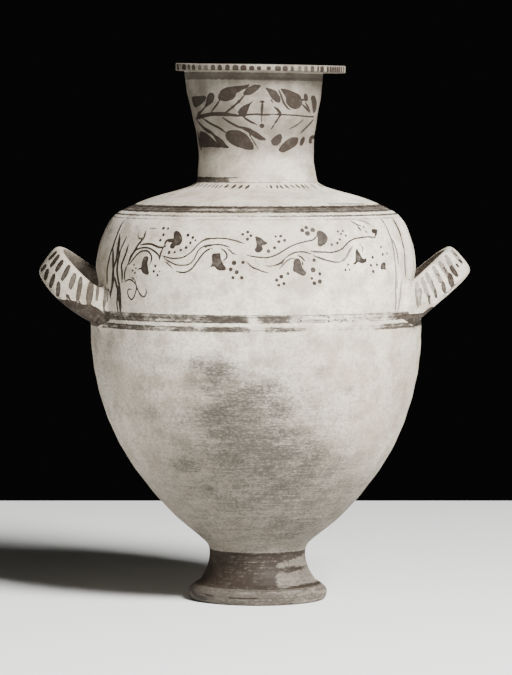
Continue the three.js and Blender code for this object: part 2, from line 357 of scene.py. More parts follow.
neck_lines = [
    (1.3, 0.85, [(195.7, 118.8), (202.1, 116.7), (211, 114.7), (221.2, 114.7), (231.4, 114.9),
        (240.4, 116)]),
    (0.9, 0.8, [(196, 118), (203.4, 114.9), (213.6, 113.2), (223.8, 113.2), (231.4, 113.9)]),
    (0.8, 0.8, [(240.4, 116), (249.3, 114.6), (256.9, 114.3), (265.9, 114.8), (272.2, 114.2)]),
    (0.55, 0.6, [(272.2, 114.2), (282.4, 114.6), (297.8, 115.5), (306.7, 116.4), (315, 117)]),
    (0.9, 0.8, [(197, 116.2), (201.5, 111.1)]), (0.6, 0.6, [(201.1, 111.4), (204.6, 107.6)]),
    (0.6, 0.55, [(211, 111.8), (216.1, 105.4), (219.9, 99.6)]),
    (0.8, 0.7, [(223.8, 113.7), (230.2, 109.2), (239.1, 101.6), (244.8, 94.8)]),
    (1.5, 0.8, [(238.1, 102.2), (240.1, 100.9)]), (1.4, 0.75, [(231.7, 107.6), (233.7, 106.4)]),
    (0.7, 0.65, [(278.6, 89.7), (281.2, 95.8), (283.7, 102.8), (287.6, 107.9), (290.4, 109.8)]),
    (0.5, 0.5, [(270.5, 99), (272.5, 102.4)]), (0.7, 0.75, [(299, 99.1), (306.7, 100.4)]),
    (0.6, 0.65, [(302.6, 104.5), (310.3, 112.7)]), (0.5, 0.6, [(305.4, 102.4), (310.5, 111.1)]),
    (1, 0.9, [(242.7, 116.2), (249.3, 120.9), (256.3, 124.3)]),
    (1.5, 0.95, [(260.3, 101.7), (264.1, 101.7)]),
    (1.2, 0.95, [(262.3, 101.7), (262, 108.6), (261.7, 115.2)]),
    (0.5, 0.4, [(261.5, 116.2), (261.4, 122.6)]),
    (1.3, 0.9, [(274.2, 106.9), (277.6, 109.8), (280.2, 114.2), (277.9, 118.8)]),
    (1, 0.9, [(277.9, 118.8), (274.3, 123.9)]), (0.6, 0.7, [(274.3, 123.9), (271.2, 129)]),
    (0.9, 0.75, [(196.4, 119.8), (202.1, 126.4), (211, 132.6), (216.8, 139.8), (221.5, 147.1)]),
    (0.7, 0.7, [(198.3, 122.3), (204.6, 129.6), (213.6, 134.3)]),
    (0.9, 0.75, [(203.4, 118.8), (211, 123.9), (218.7, 127.7), (225.3, 132.3)]),
    (0.9, 0.75, [(222.5, 117.5), (231.4, 123.2), (242.3, 128.6)]),
    (0.6, 0.6, [(236.5, 126.4), (249.3, 129), (262, 136.6)]),
    (0.6, 0.6, [(313.7, 119.4), (308, 125.8), (300.9, 133.1)]),
    (0.45, 0.45, [(304.1, 119.4), (297.8, 124.5), (289.5, 129.2)]),
    (0.8, 0.7, [(196.5, 131.5), (201.1, 149.6)]),
    (0.5, 0.4, [(249.3, 134.1), (253.8, 141.7), (258.2, 148.8)]),
]
neck_dots = [
    (261.8, 125.8, 1.7),
]
frieze_leaves = [
    (0.6, [(173.2, 235.3), (174, 231.9), (176.3, 230.7), (179.2, 231.9), (181.5, 235.7), (182.2, 238.8),
        (181.5, 242.6), (178.8, 245.3), (176.1, 245.7), (173.8, 244.1), (171.9, 242.6), (167.7, 242),
        (170.4, 238.9), (173.1, 238.2)]),
    (0.8, [(169.6, 246.1), (171.5, 243.2), (174.6, 243.5), (175.4, 245.7), (173.8, 248.4), (170.8, 248.6)]),
    (0.7, [(142.8, 257.9), (144.7, 256.2), (147.4, 256.8), (147.8, 259.4), (147, 263.3), (147.8, 267.9),
        (148.7, 272.5), (147.8, 274.8), (145.1, 274.6), (142.1, 272.5), (140.9, 269.4), (140.9, 264.8),
        (141.7, 261)]),
    (0.85, [(211.5, 257.2), (212.3, 254.1), (215.7, 253.3), (219.5, 252.9), (220.7, 254.9), (220.8, 258.7),
        (222.6, 262.5), (223.4, 264.8), (225.7, 267.1), (226, 269.4), (223.4, 270.8), (219.5, 270.5),
        (216.5, 269.4), (214.2, 266.7), (209.6, 267.3), (211.1, 264.8), (211.9, 261.7)]),
    (0.5, [(255.1, 236.5), (258.6, 236.9), (261.6, 238.4), (264.7, 241.1), (267.8, 243), (265.5, 244.9),
        (262, 245.7), (262.9, 248.7), (262, 251), (258.6, 252.8), (255.5, 251.8), (254.7, 249.5),
        (256.3, 246.4), (256.3, 242.6)]),
    (0.65, [(293.4, 264.8), (293.8, 261), (295.7, 258.7), (298.4, 258.3), (300.7, 261), (301.8, 265.6),
        (303.7, 269.4), (306.4, 272.5), (305.3, 275.1), (303, 275.9), (299.1, 274.4), (295.3, 272.1),
        (293, 271.3)]),
    (0.65, [(316.6, 234), (317.5, 231.1), (320, 230.5), (324.1, 232.4), (327, 235.7), (327.8, 239),
        (326.6, 242.3), (323.7, 245.2), (320.4, 246.5), (317.9, 245.6), (317.5, 242.3), (318, 238.2)]),
    (0.5, [(356.4, 248.5), (358.9, 252.3), (361.4, 256.8), (363.5, 258.9), (365.6, 258.1), (366.4, 260.6),
        (365.2, 262.6), (361.4, 263.5), (358.1, 262.2), (355.2, 264.7), (353.1, 263.5), (355.2, 261.4),
        (355.2, 256.4), (355.2, 251.4)]),
    (0.55, [(380.1, 266.4), (381.3, 263.1), (383.8, 262.2), (385.3, 263.9), (385.1, 266.8), (385.5, 269.7),
        (383, 269.5), (380.5, 269.3)]),
    (0.85, [(371.2, 229.2), (376.3, 229.5), (376.1, 233.2), (371.8, 232.9)]),
]
frieze_lines = [
    (0.9, 0.75, [(123.7, 221.2), (120.3, 226.5), (116.4, 236.5), (113.4, 246.4), (110.3, 254.9),
        (108.8, 261.7), (107.6, 271.7), (107.2, 283.9)]),
    (0.9, 0.65, [(119.5, 235), (118.7, 242.6), (117.2, 251.8), (115.7, 261), (113.4, 270.2), (112.2, 280.9),
        (111.5, 288.5), (110.3, 300)]),
    (1.2, 0.7, [(119.9, 238), (119.1, 246.4), (118, 257.9), (117.2, 269.4), (118, 279.3), (119.5, 288.5),
        (120.6, 300), (120.3, 312.3)]),
    (0.7, 0.6, [(126.4, 236.5), (123.3, 244.1), (120.6, 250.3), (118.3, 261)]),
    (1.1, 0.65, [(128.3, 244.9), (126, 252.6), (123.3, 259.4), (121.4, 265.6), (122.2, 273.2),
        (121.8, 281.6)]),
    (1.2, 0.7, [(113.4, 248.7), (113, 257.9), (113.4, 265.6), (113.7, 276.3), (112.6, 284.7),
        (110.3, 296.2), (110.2, 309.2)]),
    (0.8, 0.6, [(127.1, 264.8), (124.8, 271.7), (124.5, 277.8), (125.2, 281.6)]),
    (0.9, 0.65, [(117.2, 288.5), (117.6, 296.2), (117, 303.8), (118, 312.3)]),
    (1.3, 0.7, [(115.1, 277.8), (116.4, 285.5), (118.9, 291.6), (119.6, 303.8), (120.4, 312.3)]),
    (0.8, 0.6, [(104.6, 287), (104.2, 294.7), (105.7, 303.8)]),
    (0.9, 0.55, [(108.8, 288.5), (109.2, 293.9), (107.2, 303.8)]),
    (0.9, 0.85, [(145.5, 231.1), (144, 236.5), (140.9, 241.1), (137.9, 244.9), (134.8, 250.3),
        (131.7, 254.9), (128.7, 261), (127.5, 264.8)]),
    (0.9, 0.7, [(140.2, 245.1), (144.7, 244.1), (150.9, 244.1), (154.7, 245.7), (158.5, 247.2),
        (162.3, 247.4), (165.4, 246.3)]),
    (1, 0.75, [(164.6, 246.3), (165, 242.6), (167.3, 240.3), (171.5, 238.9)]),
    (0.9, 0.7, [(127.9, 262.5), (131, 254.9), (135.6, 250.3), (139.4, 248.4), (144.7, 247.6),
        (150.1, 248.7), (154.7, 251.8), (157.9, 254.9), (158.9, 259.1)]),
    (0.9, 0.7, [(128.7, 264.8), (132.5, 259.4), (137.1, 254.1), (141.7, 251.2), (147, 251), (150.1, 254.1),
        (151.2, 257.9), (150.1, 262.5), (149.2, 264.2)]),
    (0.9, 0.8, [(162.7, 248.4), (160.4, 253.3), (158.9, 259.8)]),
    (0.5, 0.6, [(161.6, 255.6), (166.2, 257.2), (171.5, 258.3), (177.7, 258.3), (183, 257.2),
        (188.4, 254.1), (193.7, 249.5), (197.5, 244.9), (202.1, 241.1), (206.7, 238.8), (215, 238.4)]),
    (0.5, 0.5, [(163.1, 257.9), (168.5, 261.4), (176.1, 264.8), (183, 265.2), (189.1, 264), (193.7, 259.4),
        (196, 254.9), (199.1, 249.5), (203.7, 246.4), (209.8, 244.9), (215, 244.5)]),
    (0.6, 0.6, [(175.7, 271.3), (181.5, 272.5), (186.8, 271.7), (192.2, 267.9), (196.8, 261.7),
        (201.4, 255.6), (206, 251), (211.3, 248.7)]),
    (0.5, 0.45, [(163.9, 261.4), (168.5, 264.8), (172.3, 269)]),
    (0.8, 0.7, [(137.9, 269.2), (141.3, 268.1)]),
    (0.6, 0.6, [(125.2, 282), (127.1, 280.1), (130.2, 279.7), (133.3, 282), (135.9, 285.5), (135.6, 291.6),
        (134, 296.9), (131.4, 299.6), (128.7, 296.2), (127.5, 291.6), (128.7, 289.3), (131.4, 289.4)]),
    (0.5, 0.5, [(135.9, 285.5), (137.9, 290.8), (140.9, 295.4), (144, 296.8), (145.9, 293.1),
        (145.4, 287.8)]),
    (0.5, 0.5, [(131, 277), (133.3, 278.6), (135.3, 281.8)]), (0.8, 0.7, [(138, 238.5), (140.9, 238.8)]),
    (0.35, 0.3, [(138.6, 231.1), (137.5, 235), (139, 238), (142.8, 237.3), (144, 233.4)]),
    (0.7, 0.3, [(149.3, 228.5), (156.2, 228.3)]),
    (0.55, 0.6, [(205, 240.7), (209.6, 238.8), (218, 238.2), (225.7, 238.6), (235.6, 240.7), (239.4, 242),
        (244, 243.5)]),
    (0.5, 0.6, [(247.1, 254.9), (250.9, 256.2), (258.6, 257.2), (266.2, 257.7), (272.3, 256.4),
        (278.5, 253.7), (284.6, 249.9), (290.7, 246.4), (296.8, 244), (304.5, 241.8), (312.1, 240.2),
        (315.2, 238.4), (316.7, 236.5)]),
    (0.55, 0.6, [(205, 247.6), (209.6, 245.7), (216.5, 244.5), (223.4, 245.3), (229.5, 247.2)]),
    (0.6, 0.6, [(205, 251.8), (208.8, 249.1), (211.9, 248.9)]),
    (0.7, 0.75, [(221.1, 248.7), (224.1, 250.6), (226.3, 253.7), (226.7, 257.5), (223, 260.8)]),
    (0.5, 0.6, [(227.2, 248.4), (230.3, 251), (233.3, 253.7), (236.5, 254.5)]),
    (0.45, 0.5, [(246.7, 261.7), (250.2, 265.6), (254.7, 268.2), (258.6, 269.8), (263.2, 271.7),
        (268.5, 272.8)]),
    (0.9, 0.6, [(251.8, 267.1), (255.5, 268.8)]),
    (0.4, 0.35, [(264.7, 265.6), (270, 266.3), (274.6, 265.2)]),
    (0.8, 0.7, [(274.3, 265.6), (278.5, 264.2), (281.9, 262.1), (285.4, 257.9)]),
    (0.55, 0.55, [(285.4, 257.9), (289.9, 254.9), (294.5, 252.6), (299.9, 251.8), (305.3, 252.2),
        (311, 253.9)]),
    (0.7, 0.35, [(279.2, 269), (282.3, 265.6), (286.1, 261.7), (290.7, 258.7), (295.3, 258.3)]),
    (0.6, 0.5, [(310.6, 251), (316.7, 251.6), (325, 252.6)]),
    (0.5, 0.6, [(313.7, 256), (318.3, 257.2), (325, 259.4)]),
    (0.8, 0.85, [(298, 255.6), (301.4, 257.3), (304.7, 261)]), (0.6, 0.6, [(302.2, 261), (303, 265.2)]),
    (0.6, 0.6, [(310, 240.7), (313.3, 239.8), (316.2, 236.9), (317.9, 234.4)]),
    (0.5, 0.6, [(313.3, 252.3), (322.4, 251.9), (330.7, 252.4), (337.4, 251), (342.3, 248.5),
        (345.7, 244.8), (349.8, 241.1), (354.8, 238.6), (359.8, 237.8), (366.4, 236.9), (375.1, 237.5)]),
    (0.5, 0.55, [(314.1, 255.6), (320, 258.5), (328.2, 260.6), (334.9, 262.2), (340.7, 261.8)]),
    (0.9, 0.3, [(340.7, 261.8), (345.7, 258.1), (349, 251.4), (352.3, 246.5)]),
    (0.9, 0.75, [(357.3, 226.6), (360.8, 230.7)]),
    (0.6, 0.55, [(349.4, 220.6), (356.4, 224.5), (360.6, 225.7)]),
    (0.8, 0.3, [(356.4, 220.3), (363.1, 221.2), (369.7, 224.9)]),
    (0.6, 0.6, [(376.2, 233.2), (374.3, 236.3)]),
    (0.5, 0.35, [(360.2, 244), (362.2, 248.1), (361.8, 251.4)]),
    (0.6, 0.65, [(380.5, 219.1), (383.8, 224.1)]),
    (0.45, 0.45, [(383.8, 224.1), (387.1, 230.7), (390.4, 238.2), (393.8, 244.8), (396.2, 253.1),
        (397.9, 264.7)]),
    (0.9, 0.85, [(392.1, 219.1), (395.4, 224.9), (398.7, 231.5), (400.8, 238.2)]),
    (0.8, 0.65, [(401.1, 239.8), (402.1, 244), (403.3, 250.2)]),
    (0.5, 0.35, [(403.5, 250.2), (404.5, 263.1), (404.7, 276.3)]),
    (0.7, 0.25, [(389.6, 236.5), (392.9, 251.4), (394.6, 263.1), (395.4, 279.6), (395.4, 312)]),
    (0.6, 0.2, [(401.2, 279.6), (400, 296.2), (397.9, 312)]), (0.6, 0.2, [(396.2, 275.5), (397.1, 287.9)]),
    (1, 0.5, [(328, 203.9), (364, 203.9)]),
]
frieze_dots = [
    (163.3, 228.3, 1.2), (167.9, 228.5, 1), (163.1, 234.7, 1.1), (160, 240.3, 1.1), (187.8, 235.2, 1.2),
    (192.7, 237.5, 1.1), (195.3, 240.3, 0.7), (190.3, 242.8, 1), (186.1, 247.6, 1.1), (180.7, 250.1, 1),
    (174.6, 252.2, 0.9), (168.9, 252.4, 1.2), (133.6, 264.8, 0.7), (135.6, 268.2, 0.7), (132.5, 270.5, 0.8),
    (134.8, 272.8, 0.8), (154.9, 266, 1), (153.5, 271.3, 1), (157.2, 275.1, 0.9), (159.3, 271.3, 0.5),
    (242.5, 234.4, 1), (247.7, 232.1, 1.1), (250.9, 235.6, 1), (247.5, 239.3, 1.1), (275.8, 236.5, 0.8),
    (280.8, 236.1, 1.1), (284.6, 240.3, 1.1), (278.9, 241.7, 1.1), (274.6, 247.8, 1.1), (268.5, 251.2, 1.3),
    (302.2, 230.4, 1.5), (306.2, 227.5, 1.3), (312.7, 230, 1.7), (307.5, 233.4, 1.9), (233.9, 262.9, 1.7),
    (230.6, 269.4, 1.4), (236.6, 272.2, 1.5), (232.9, 277.7, 1.1), (241.7, 277.8, 1.2), (243, 262.4, 1.2),
    (281.3, 276.7, 1.4), (276.6, 280.1, 1.2), (278.7, 285.3, 1.1), (283.8, 283.6, 1.1), (288, 273.6, 1),
    (314.1, 260.2, 1.3), (313.1, 269.9, 1.9), (319.8, 273.8, 1.2), (311.8, 278.4, 1), (314.4, 283.2, 1.4),
    (319.8, 281.5, 1.6), (339.9, 239.4, 0.8), (337.4, 243, 1), (331.7, 244.6, 0.9), (345.8, 235.7, 0.8),
    (342.6, 230.9, 0.8), (340.9, 234, 0.8), (337.8, 231.5, 0.8), (363.1, 227, 0.8), (365.7, 231.7, 0.8),
    (380.1, 246.9, 1), (382, 254.5, 1.1), (386.1, 253.5, 0.9), (372.2, 257.2, 1.1), (370.7, 265.3, 1.1),
    (376.6, 264.7, 1), (372.8, 271.5, 1.2), (348.1, 264.5, 0.8), (345.4, 269.9, 0.8), (349.6, 269.9, 0.7),
    (301, 321, 0.7), (328.6, 317.6, 0.6), (328.6, 321.3, 0.7), (341.8, 321, 0.5), (352.8, 321, 0.5),
]


def brush(points, width, tone):
    """A stroke seen in the picture, made wider where the wall turns away from the eye."""
    places, run = seen(points), np.abs(np.diff(np.array(points, float), axis=0)).sum(axis=0)
    level = run[0] / run.sum()
    draw_line(places, width * (level + (1 - level) / max(math.cos(places[:, 0].mean()), 0.3)), tone)


for tone, points in neck_leaves:
    draw_leaf(seen(points), 0.9 + 0.09 * tone)
for tone, points in frieze_leaves:
    draw_leaf(seen(points), 0.89 + 0.1 * tone)
grass_column, grass_row = 129, 200
for width, tone, points in neck_lines + frieze_lines:
    # the grass is drawn with the tip of the brush
    tip_only = points[0][0] <= grass_column and points[0][1] >= grass_row
    brush(points, 0.5 + (0.85 if tip_only else 1.3) * width, min(0.16 + 1.4 * tone, 0.98))
for column, row, radius in neck_dots + frieze_dots:
    draw_dot(seen([(column, row)])[0], 0.18 + 1.05 * radius, 0.97)

# Worn dark dashes and two small dark marks low on the foot, and painted shadow along the left of its edge
foot_dashes_and_shadow = [
    # the second and third strokes are painted shadow on the left side of the foot's edge
    (1.5, [(227.8, 597.7), (242, 598.6), (258.6, 598.2)]), (2.6, [(192, 592), (196, 596), (206, 599)]),
    (1.4, [(204, 594), (213, 596.6)]), (2.2, [(288.6, 604.2), (291.4, 604.1)]),
    (1.6, [(235.4, 604.4), (237, 604.5)]),
]
for width, points in foot_dashes_and_shadow:
    brush(points, width, 0.9)

# Short rays round the foot of the neck: close strokes leaning to the right on the left,
# short fat ones in the middle, and strokes leaning to the left on the right. Each group
# has its first and last column, number, lean, width and strength.
random.seed(7)
ray_groups = [
    (193, 221, 8, 4.4, 1.7, 0.95), (226.5, 247.5, 4, 3.6, 3.0, 0.95), (257, 267, 2, 0.0, 1.2, 0.5),
    (271.5, 277, 2, -0.8, 2.2, 0.9), (281.5, 303, 5, -3.4, 2.2, 0.92), (307, 327, 4, -5.0, 1.8, 0.85),
]
axis_column, ray_top_row, ray_foot_row, ray_sag = 257, 185.0, 188.3, 2.6
for first, last, count, lean, width, tone in ray_groups:
    for column in np.linspace(first, last, count):
        column += random.uniform(-0.4, 0.4)
        shift = lean * random.uniform(0.8, 1.2)
        top, foot = ray_top_row + random.uniform(-0.3, 0.3), ray_foot_row + random.uniform(-0.6, 0.6)
        sag = ray_sag * (1 - ((column - axis_column) / 75) ** 2) ** 0.5
        upper, lower = (column + shift / 2, top - ray_sag + sag), (column - shift / 2, foot - ray_sag + sag)
        brush([upper, lower], width, tone)
front_column = 256.9
ray_top = seen([(front_column, ray_top_row - 0.5)])[0, 1]
rays_behind = 48
for k in range(rays_behind):
    turn = wrapped(math.radians(72 + 216 * (k + 0.5) / rays_behind) + random.uniform(-0.012, 0.012))
    high = ray_top - random.uniform(1, 3)
    course = np.array([(turn, high), (turn * 1.01, high - random.uniform(4.5, 7))])
    draw_line(course, random.uniform(1.2, 2), random.uniform(0.55, 0.85))

# Dashes on the lip's edge: fat and dark in the middle, thin strokes to the sides. Each has
# its column, width, height and strength.
lip_middle = float(np.interp((LIP_BOTTOM + HEIGHT) / 2 - 0.75, front_z, front_s))


def draw_dash(turn, width, tall, tone):
    half = 1.1 * width / 2 / LIP_RADIUS / max(math.cos(turn), 0.45) ** 0.7
    round_it = [(-0.9, -0.7), (0, -1), (0.9, -0.7), (1, 0), (0.9, 0.7), (0, 1), (-0.9, 0.7), (-1, 0)]
    draw_leaf(np.array([(turn + a * half, lip_middle + b * 1.22 * tall / 2) for a, b in round_it]), tone)


lip_dashes = [
    (177.8, 3.4, 5.6, 0.92), (183.8, 3.3, 5.6, 0.92), (188.7, 2.2, 5.6, 0.6), (193.5, 2.9, 5.6, 0.75),
    (199.5, 2.4, 5, 0.5), (206, 3, 5, 0.45), (213, 3.1, 5.6, 0.75), (219.7, 3.1, 5.4, 0.92),
    (227.4, 3.3, 5.6, 0.95), (235.5, 4.4, 5.6, 0.95), (243.5, 4.4, 5.2, 0.95), (251.7, 3.8, 4.4, 0.97),
    (259, 3, 4, 0.97), (268.7, 3.1, 3.8, 0.97), (277.9, 4.3, 4.6, 0.97), (285.2, 3.7, 4.8, 0.95),
    (292.3, 2.4, 4.8, 0.8), (299.7, 2.8, 5.4, 0.6), (306, 2.6, 5.4, 0.65), (312.4, 2.8, 5.6, 0.8),
    (318.1, 1.6, 5.6, 0.8), (322.1, 3, 5.6, 0.92), (327.9, 1.9, 5.6, 0.92), (330.7, 1.8, 5.6, 0.92),
]
lip_row = 67
for column, width, tall, tone in lip_dashes:
    draw_dash(seen([(column, lip_row)])[0, 0], width, tall, tone)
column, last_column = 333.2, 345.4
while column < last_column:
    draw_dash(seen([(column, lip_row + 0.5)])[0, 0], 1.7, 5.6, random.uniform(0.9, 0.97))
    column += random.uniform(1.9, 2.3)
dashes_behind = 58
for k in range(dashes_behind):
    turn = wrapped(math.radians(97 + 166 * (k + random.uniform(0.3, 0.7)) / dashes_behind))
    draw_dash(turn, random.uniform(1.6, 3.0), 5.4, random.uniform(0.6, 0.9))

# The handles: straps of the same clay, pulled and luted to the wall at both ends with the
# joint smoothed over. Two side handles are canted upwards at the belly, and an upright one
# stands at the back.
HALF_SPAN = 51
ROOT_RADIUS = 117.6
AROUND = 44
JOINT_WIDTH = 5.5


def side_path(side, cant, curl, back_lift, reach, root_height):
    """The middle line of a side handle, and the way its strap is wide."""
    slope, share = math.radians(cant), 0.16

    def path(t):
        inner = np.minimum(t, 1 - t)
        swing = np.pi * np.clip((t - share) / (1 - 2 * share), 0, 1)
        out = reach * np.sin(swing) - 20 * np.maximum(share - inner, 0) / share
        dip = 4 * curl * ((out / reach) ** 2 - np.abs(out / reach))
        across = -HALF_SPAN * np.cos(swing)
        up = root_height + out * math.sin(slope) + dip + back_lift * across / HALF_SPAN
        return np.stack([side * (ROOT_RADIUS + out * math.cos(slope)), across, up], axis=-1)

    return path, np.array([-side * math.sin(slope), 0, math.cos(slope)])


def back_path(t):
    """The middle line of the upright handle, from under the lip down to the shoulder."""
    t = np.asarray(t)[..., None]
    a, b, c, d = (np.array(p, float) for p in ((0, 47.9, 386), (0, 96, 398), (0, 101, 356), (0, 90, 305)))
    return (1 - t) ** 3 * a + 3 * (1 - t) ** 2 * t * b + 3 * (1 - t) * t * t * c + t ** 3 * d


def strap(path, width_way, width=26.5, thickness=11, flare=(0.12, 0.26), stations=116):
    """The measures of one handle; it thickens over the flare, a share of its length."""
    return {"path": path, "width_way": width_way, "width": width, "thickness": thickness,
            "flare": flare, "stations": stations}


left = strap(*side_path(-1, 36, 3.2, 4.5, 53, 233.8))
right = strap(*side_path(1, 40.5, 0, 0, 51, 232.5))
back = strap(back_path, np.array([1.0, 0, 0]), 30, 10, (0.05, 0.2), 50)


def soften(value):
    """Rounds the strap's section from a circle towards a soft-cornered bar."""
    return np.sign(value) * np.abs(value) ** (2 / 3.2)


def section_angles(width, thickness):
    """Angles that space the points of a strap's section evenly."""
    dense = np.linspace(0, 2 * np.pi, 2000)
    edge = np.stack([soften(np.cos(dense)) * width / 2, soften(np.sin(dense)) * thickness / 2], axis=1)
    far = np.concatenate([[0], np.cumsum(np.linalg.norm(np.diff(edge, axis=0), axis=1))])
    return np.interp(np.arange(AROUND) / AROUND * far[-1], far, dense)


def strap_point(handle, t, angle):
    """A point on a strap, from how far along it is and where on its section."""
    path, width_way = handle["path"], handle["width_way"]
    centre = path(t)
    along = path(np.minimum(t + 0.01, 1)) - path(np.maximum(t - 0.01, 0))
    along /= np.linalg.norm(along, axis=-1)[..., None]
    across = width_way - along * (along @ width_way)[..., None]
    across /= np.linalg.norm(across, axis=-1)[..., None]
    out = np.cross(along, across)
    root = 1 - smooth(np.minimum(t, 1 - t), *handle["flare"])
    uneven = 1 + 0.02 * np.sin(9 * t + angle) + 0.015 * np.sin(23 * t + 2 * angle)
    wider = 1 + 0.15 * root * (0.5 + 0.5 * np.cos(angle))
    thicker = 1 + 0.6 * root
    return (centre + across * (soften(np.cos(angle)) * handle["width"] / 2 * wider * uneven)[..., None]
            + out * (soften(np.sin(angle)) * handle["thickness"] / 2 * thicker * uneven)[..., None])


def root_lines(handle, at_start):
    """Where each line along a strap meets the wall, and where the smoothed joint ends."""
    angle = section_angles(handle["width"], handle["thickness"])
    low, high = np.zeros(AROUND), np.full(AROUND, 0.34)

    def from_start(t):
        return t if at_start else 1 - t

    for _ in range(30):
        middle = (low + high) / 2
        under = off_wall(strap_point(handle, from_start(middle), angle)) < 0
        low, high = np.where(under, middle, low), np.where(under, high, middle)
    foot = strap_point(handle, from_start(high), angle)
    speed = np.linalg.norm(strap_point(handle, from_start(high + 0.01), angle) - foot, axis=1) / 0.01
    return foot, from_start(high + JOINT_WIDTH / speed)


handles = []
for handle in (left, right, back):
    angle = section_angles(handle["width"], handle["thickness"])
    roots = []
    for at_start in (True, False):
        foot, clear = root_lines(handle, at_start)
        place = wall_place(foot)
        place[:, 0] = wrapped(place[:, 0])
        r = float(radius_at(place[:, 1].mean()))
        flat = place * (r, 1)
        centre = flat.mean(axis=0)
        side = sideways(flat, closed=True)
        side *= np.sign(((flat - centre) * side).sum())
        edge = flat + side * JOINT_WIDTH
        for _ in range(4):
            edge = 0.5 * edge + 0.25 * (np.roll(edge, 1, axis=0) + np.roll(edge, -1, axis=0))
        roots.append({"outline": edge / (r, 1), "foot": on_wall(*place.T), "clear": clear,
                      "centre": centre / (r, 1)})
    handles.append((handle, angle, roots))
all_roots = [root for _, _, roots in handles for root in roots]

# The surface of the wall: points set out in rows round the jar, closer on the painted
# front and at the edges, joined to triangles, with a hole at each handle root that the
# strap closes.
spread = np.concatenate([[0], np.cumsum(np.diff(lengths) / ((profile[1:, 0] + profile[:-1, 0]) / 2))])
bearing = np.arctan2(np.gradient(profile[:, 1]), np.gradient(profile[:, 0]))
curving = np.abs(np.gradient(np.unwrap(bearing))) / np.maximum(np.gradient(lengths), 1e-3)
curving = np.maximum.reduce([np.roll(curving, k) for k in (-2, -1, 0, 1, 2)])
INSIDE_STEP = 8.0
POINTS_ROUND = {"foot": 140, "lip": 216}


def front_step(s):
    """The spacing on the outside, closer where the painting is."""
    return 2.7 if height_at(s) > 200 else 3.7


row_lengths, row_kind = [0.0], ["inside"]
foot_from, foot_to = lengths[len(under_foot)] - 18, float(np.interp(31, front_z, front_s))
lip_from, lip_to = lip_outer[0] - 3, lip_outer[3] + 8
while row_lengths[-1] < total_length - 0.8:
    s = row_lengths[-1]
    r = float(radius_at(s))
    if foot_from < s < foot_to:
        kind, base = "foot", 1.9
    elif lip_from < s < lip_to:
        kind, base = "lip", 1.5
    elif start_outside < s < lip_to:
        kind, base = "outside", front_step(s)
    else:
        kind, base = "inside", INSIDE_STEP
    base = min(base, 0.3 / max(float(np.interp(s, lengths, curving)), 0.02), 0.3 * r + 0.15)
    row_lengths.append(s + 0.87 * base)
    row_kind.append(kind)
row_lengths[-1] = total_length

STROKE_GAP = 0.38
ROW_GAP = 1.3
stroke_cells, all_cells, kept = {}, {}, []


def crowded(a, b, gap, cells):
    """Whether a kept point lies closer than the gap."""
    key = (int(a // gap), int(b // gap))
    for i in (-1, 0, 1):
        for j in (-1, 0, 1):
            for c, d in cells.get((key[0] + i, key[1] + j), ()):
                if (a - c) ** 2 + (b - d) ** 2 < gap * gap:
                    return True
    return False


def in_root(turn, s, grow=0.0):
    """Whether a place on the wall lies under a handle's joint."""
    for root in all_roots:
        outline, centre = root["outline"], root["centre"]
        r = float(radius_at(centre[1]))
        away = np.hypot((turn - centre[0]) * r, s - centre[1])
        if away > 60:
            continue
        bearing_here = math.atan2(s - centre[1], (turn - centre[0]) * r)
        reach = np.hypot((outline[:, 0] - centre[0]) * r, outline[:, 1] - centre[1])
        bearings = np.arctan2(outline[:, 1] - centre[1], (outline[:, 0] - centre[0]) * r)
        order = np.argsort(bearings)
        if away < np.interp(bearing_here, bearings[order], reach[order], period=2 * np.pi) + grow:
            return True
    return False


def put_in_cell(turn, r, s, gap, cells):
    cells.setdefault((int(turn * r // gap), int(s // gap)), []).append((turn * r, s))


for turn, s, _ in sorted(stroke_points, key=lambda p: p[2]):
    turn, r = wrapped(turn), float(radius_at(s))
    free = not crowded(turn * r, s, STROKE_GAP, stroke_cells) and not in_root(turn, s, 0.8)
    if free and start_outside < s < lip_outer[3]:
        put_in_cell(turn, r, s, STROKE_GAP, stroke_cells)
        put_in_cell(turn, r, s, ROW_GAP, all_cells)
        kept.append((turn, s))
outlines = [root["outline"] for root in all_roots]
cloud = [tuple(p) for outline in outlines for p in outline] + kept
first_of_outline = [AROUND * k for k in range(len(outlines))]
ties = [(first + k, first + (k + 1) % AROUND) for first in first_of_outline for k in range(AROUND)]
shift = 0
for s, kind in zip(row_lengths, row_kind):
    r = float(radius_at(s))
    if kind in POINTS_ROUND:
        turns = np.linspace(SEAM - 2 * math.pi, SEAM, POINTS_ROUND[kind] + 1)
    else:
        front = INSIDE_STEP if kind == "inside" else front_step(s)
        rear = INSIDE_STEP if kind == "inside" else 5.5
        front, rear = (min(step, 0.6 * r) for step in (front, rear))
        back_count = max(4, int(math.radians(66) * r / rear))
        front_count = max(8, int(math.radians(228) * r / front))
        turns = np.concatenate([np.linspace(math.radians(-212), math.radians(-114), back_count + 1)[:-1],
                                np.linspace(math.radians(-114), math.radians(114), front_count + 1)[:-1],
                                np.linspace(math.radians(114), SEAM, max(2, back_count // 2) + 1)])
        shift += 1
        if shift % 2:
            turns = np.concatenate([turns[:1], (turns[1:] + turns[:-1]) / 2, turns[-1:]])
    for k, turn in enumerate(turns):
        edge_of_sheet = k in (0, len(turns) - 1)
        if edge_of_sheet or not (crowded(turn * r, s, ROW_GAP, all_cells) or in_root(turn, s, 1.0)):
            cloud.append((turn, s))
cloud = np.array(cloud)
sheet = [Vector(p) for p in zip(cloud[:, 0], np.interp(cloud[:, 1], lengths, spread))]
_, _, faces, came_from, _, _ = delaunay_2d_cdt(sheet, ties, [], 0, 1e-6, True)
source = np.array([c[0] for c in came_from])
turns, s = cloud[source, 0], cloud[source, 1]
faces = np.array([f for f in faces if len(f) == 3])
middle_turn, middle_s = turns[faces].mean(axis=1), s[faces].mean(axis=1)
open_root = np.zeros(len(faces), bool)
